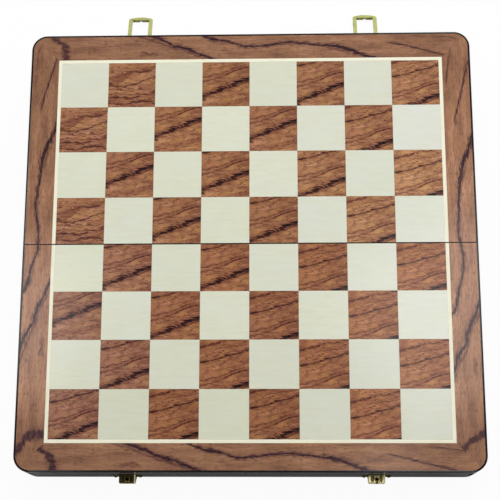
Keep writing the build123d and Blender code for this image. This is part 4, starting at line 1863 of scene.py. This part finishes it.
LAMPS = (
    Lamp("soft_lamp_left", (-0.55, 0.21, 1.25), (0.26, 0.46), 1.2),
    Lamp("soft_lamp_right", (0.55, 0.31, 1.25), (0.32, 0.88), 2.7),
    Lamp("small_lamp_front", (0.205, -0.12, 1.25), (0.1, 0.1), 0.09),
    Lamp("soft_lamp_far", (0.1, 1.5, 1.1), (1.2, 1.0), 15.6),
)


@dataclass
class Studio:
    """Pale floor, soft light and the camera.

    focal, frame_side and center are in pixels, and place is in millimetres. The sky lights
    the box and the walls show in its gloss, both weaker in front than behind.
    """

    focal: float = 1286.5
    frame_side: float = 500.0
    center: tuple[float, float] = (236.64, 252.48)
    place: Triple = (25.61, -294.23, 1090.68)
    turn: Triple = (0.254014, 0.033729, 0.003704)
    sky: tuple[float, float] = (0.1, 1.22)
    sky_reach: tuple[float, float] = (-0.5, 0.9)
    walls: tuple[float, float] = (0.4, 1.0)
    overhead: float = 0.12
    overhead_reach: tuple[float, float] = (0.5, 0.94)
    box_half: tuple[float, float] = (191.5 * MM, 205.7 * MM)
    floor_reach: float = 6.0
    floor_drop: float = 0.2 * MM
    floor_seen: float = 0.95
    floor_mirrored: float = 0.8
    shadow_reach: tuple[float, float] = (0.02, 0.3)

    def build(self) -> None:
        """Set up the floor, the light and the camera."""
        self.add_camera()
        self.add_world()
        self.add_floor()
        for lamp in LAMPS:
            lamp.hang()
        bpy.context.scene.view_settings.view_transform = "Standard"

    def add_camera(self) -> None:
        """Place the camera."""
        data = bpy.data.cameras.new("camera")
        data.sensor_width = 36.0
        data.lens = self.focal / self.frame_side * data.sensor_width
        data.shift_x = (self.frame_side / 2 - self.center[0]) / self.frame_side
        data.shift_y = (self.center[1] - self.frame_side / 2) / self.frame_side
        data.clip_end = 50.0
        camera = new_object("camera", data)
        camera.location = [value * MM for value in self.place]
        camera.rotation_euler = Euler(self.turn)
        bpy.context.scene.camera = camera

    def add_world(self) -> None:
        """Light the scene from all round, with a white background.

        Camera and transmission rays see plain white. Glossy rays see the walls, which are
        dark overhead, and all others the sky.
        """
        world = bpy.data.worlds.new("studio")
        w = NodeWriter(blank_tree(world))
        path = w.add("ShaderNodeLightPath").outputs
        seen = w.math("MAXIMUM", path["Is Camera Ray"], path["Is Transmission Ray"])
        _, depth, height = w.axes(w.add("ShaderNodeTexCoord").outputs["Generated"])
        walls = w.math("MULTIPLY", w.remap(depth, -1.0, 1.0, *self.walls),
                       w.remap(height, *self.overhead_reach, 1.0, self.overhead))
        sky = w.remap(depth, *self.sky_reach, *self.sky)
        is_glossy = path["Is Glossy Ray"]
        lit = w.math("MULTIPLY", sky, w.math("SUBTRACT", 1.0, is_glossy))
        unseen = w.math("MULTIPLY_ADD", is_glossy, walls, lit)
        kept = w.math("MULTIPLY", w.math("SUBTRACT", 1.0, seen), unseen)
        background = w.add("ShaderNodeBackground", {"Color": (1.0, 1.0, 1.0, 1.0),
                                                    "Strength": w.math("ADD", kept, seen)})
        w.add("ShaderNodeOutputWorld", {"Surface": background.outputs[0]})
        bpy.context.scene.world = world

    def add_floor(self) -> None:
        """Lay a pale floor that shows white and keeps a faint shadow, and whose glow fades
        near the box in reflections, a painted shadow.
        """
        mesh = bpy.data.meshes.new("floor")
        mesh.from_pydata([(x * self.floor_reach, y * self.floor_reach, -self.floor_drop)
                          for x, y in ((-1, -1), (1, -1), (1, 1), (-1, 1))],
                         [], [(0, 1, 2, 3)])
        floor = new_object("floor", mesh)
        material = bpy.data.materials.new("floor_paper")
        w = NodeWriter(blank_tree(material))
        place = w.object_place()
        tint = w.blend(w.noise(place, 40.0, 3.0), linear((244,) * 3), linear((249,) * 3))
        paper = w.add("ShaderNodeBsdfDiffuse", {"Color": tint})
        glow = w.add("ShaderNodeEmission")
        # The floor's glow in reflections fades out near the box: a painted shadow round it,
        # over the real shadow on the paper.
        beside, before = (w.math("SUBTRACT", w.math("ABSOLUTE", value), half)
                          for value, half in zip(w.axes(place), self.box_half))
        clear = w.remap(w.math("MAXIMUM", beside, before), *self.shadow_reach)
        path = w.add("ShaderNodeLightPath").outputs
        mirrored = w.math("MAXIMUM", path["Is Glossy Ray"], path["Is Transmission Ray"])
        glow_share = w.math(
            "MAXIMUM", w.math("MULTIPLY", path["Is Camera Ray"], self.floor_seen),
            w.math("MULTIPLY", mirrored, w.math("MULTIPLY", clear, self.floor_mirrored)))
        mix = w.add("ShaderNodeMixShader",
                    {0: glow_share, 1: paper.outputs[0], 2: glow.outputs[0]})
        w.add("ShaderNodeOutputMaterial", {"Surface": mix.outputs[0]})
        mesh.materials.append(material)


def dress(node: str, finish: bpy.types.Material) -> None:
    """Give a CAD node a finish.

    Args:
        node: Name of the node.
        finish: Its material.
    """
    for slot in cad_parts[node].material_slots:
        slot.material = finish
    LOG.info("%s dressed", node)


@dataclass
class Case:
    """Walls, panels, stringing and tray linings of both halves."""

    effects: Effects

    def build(self) -> None:
        """Dress every wooden part of the case."""
        lacquer, strings, lining, dark_point, pale_point = (
            finish.build(self.effects) for finish in (
                Lacquer("black_lacquer", (20, 14, 15), (32, 26, 27)),
                StringFinish("pale_stringing", (248, 245, 221), (241, 237, 210)),
                PlainVeneer("tray_lining", (150, 112, 78), (124, 88, 60)),
                PlainVeneer("dark_points", (112, 66, 46), (84, 46, 34), along_x=False),
                PlainVeneer("pale_points", (226, 214, 184), (208, 194, 162), along_x=False,
                            pores=0.12)))
        for half in Half:
            for part in ("long_wall", "fold_wall", "left_wall", "right_wall", "panel"):
                smooth_copy(half.node(part), half.body, lacquer)
            for part, finish in (("stringing", strings), ("tray_floor", lining),
                                 ("dark_points", dark_point), ("light_points", pale_point)):
                dress(half.node(part), finish)


@dataclass
class Hardware:
    """Hinges and latches on both sides."""

    effects: Effects
    loop_ease: float = 0.25 * MM
    plate_ease: float = 0.12 * MM
    catch_ease: float = 0.15 * MM

    def build(self) -> None:
        """Dress the hinges and latches."""
        brass, hinge, steel, left_catch, right_catch = (
            metal.build(self.effects) for metal in (
                Metal("latch_brass", (136, 139, 86), (110, 101, 50), 0.34),
                Metal("hinge_brass", (200, 184, 110), (140, 120, 62), 0.26, 0.55),
                Metal("plated_steel", (190, 186, 176), (140, 130, 110)),
                # One catch brass in two copies: the left catch painted shaded, the right
                # catch painted lit.
                CatchBrass("shaded_catch_brass", -101.0 * MM, 0.12),
                CatchBrass("lit_catch_brass", 104.0 * MM, 1.0)))
        for side, loop_body, catch_brass in (("left", Body.LEFT_LOOP, left_catch),
                                             ("right", Body.RIGHT_LOOP, right_catch)):
            for part, body, metal, ease in (
                    ("latch_loop", loop_body, brass, self.loop_ease),
                    ("latch_plate", Body.FAR_HALF, brass, self.plate_ease),
                    ("catch", Body.NEAR_HALF, catch_brass, self.catch_ease),
                    ("hinge_near_leaf", Body.NEAR_HALF, hinge, 0.0),
                    ("hinge_far_leaf", Body.FAR_HALF, hinge, 0.0)):
                smooth_copy(f"{side}_{part}", body, metal, ease)
            dress(f"{side}_hinge_pin", steel)
            dress(f"{side}_latch_pin", steel)


def main() -> None:
    """Build the studio and every piece of the box."""
    logging.basicConfig(level=logging.INFO)
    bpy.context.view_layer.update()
    effects = Effects()
    Studio().build()
    Case(effects).build()
    Board(effects).build()
    Hardware(effects).build()
    Fasteners(effects).build()


if __name__ == "__main__":
    main()
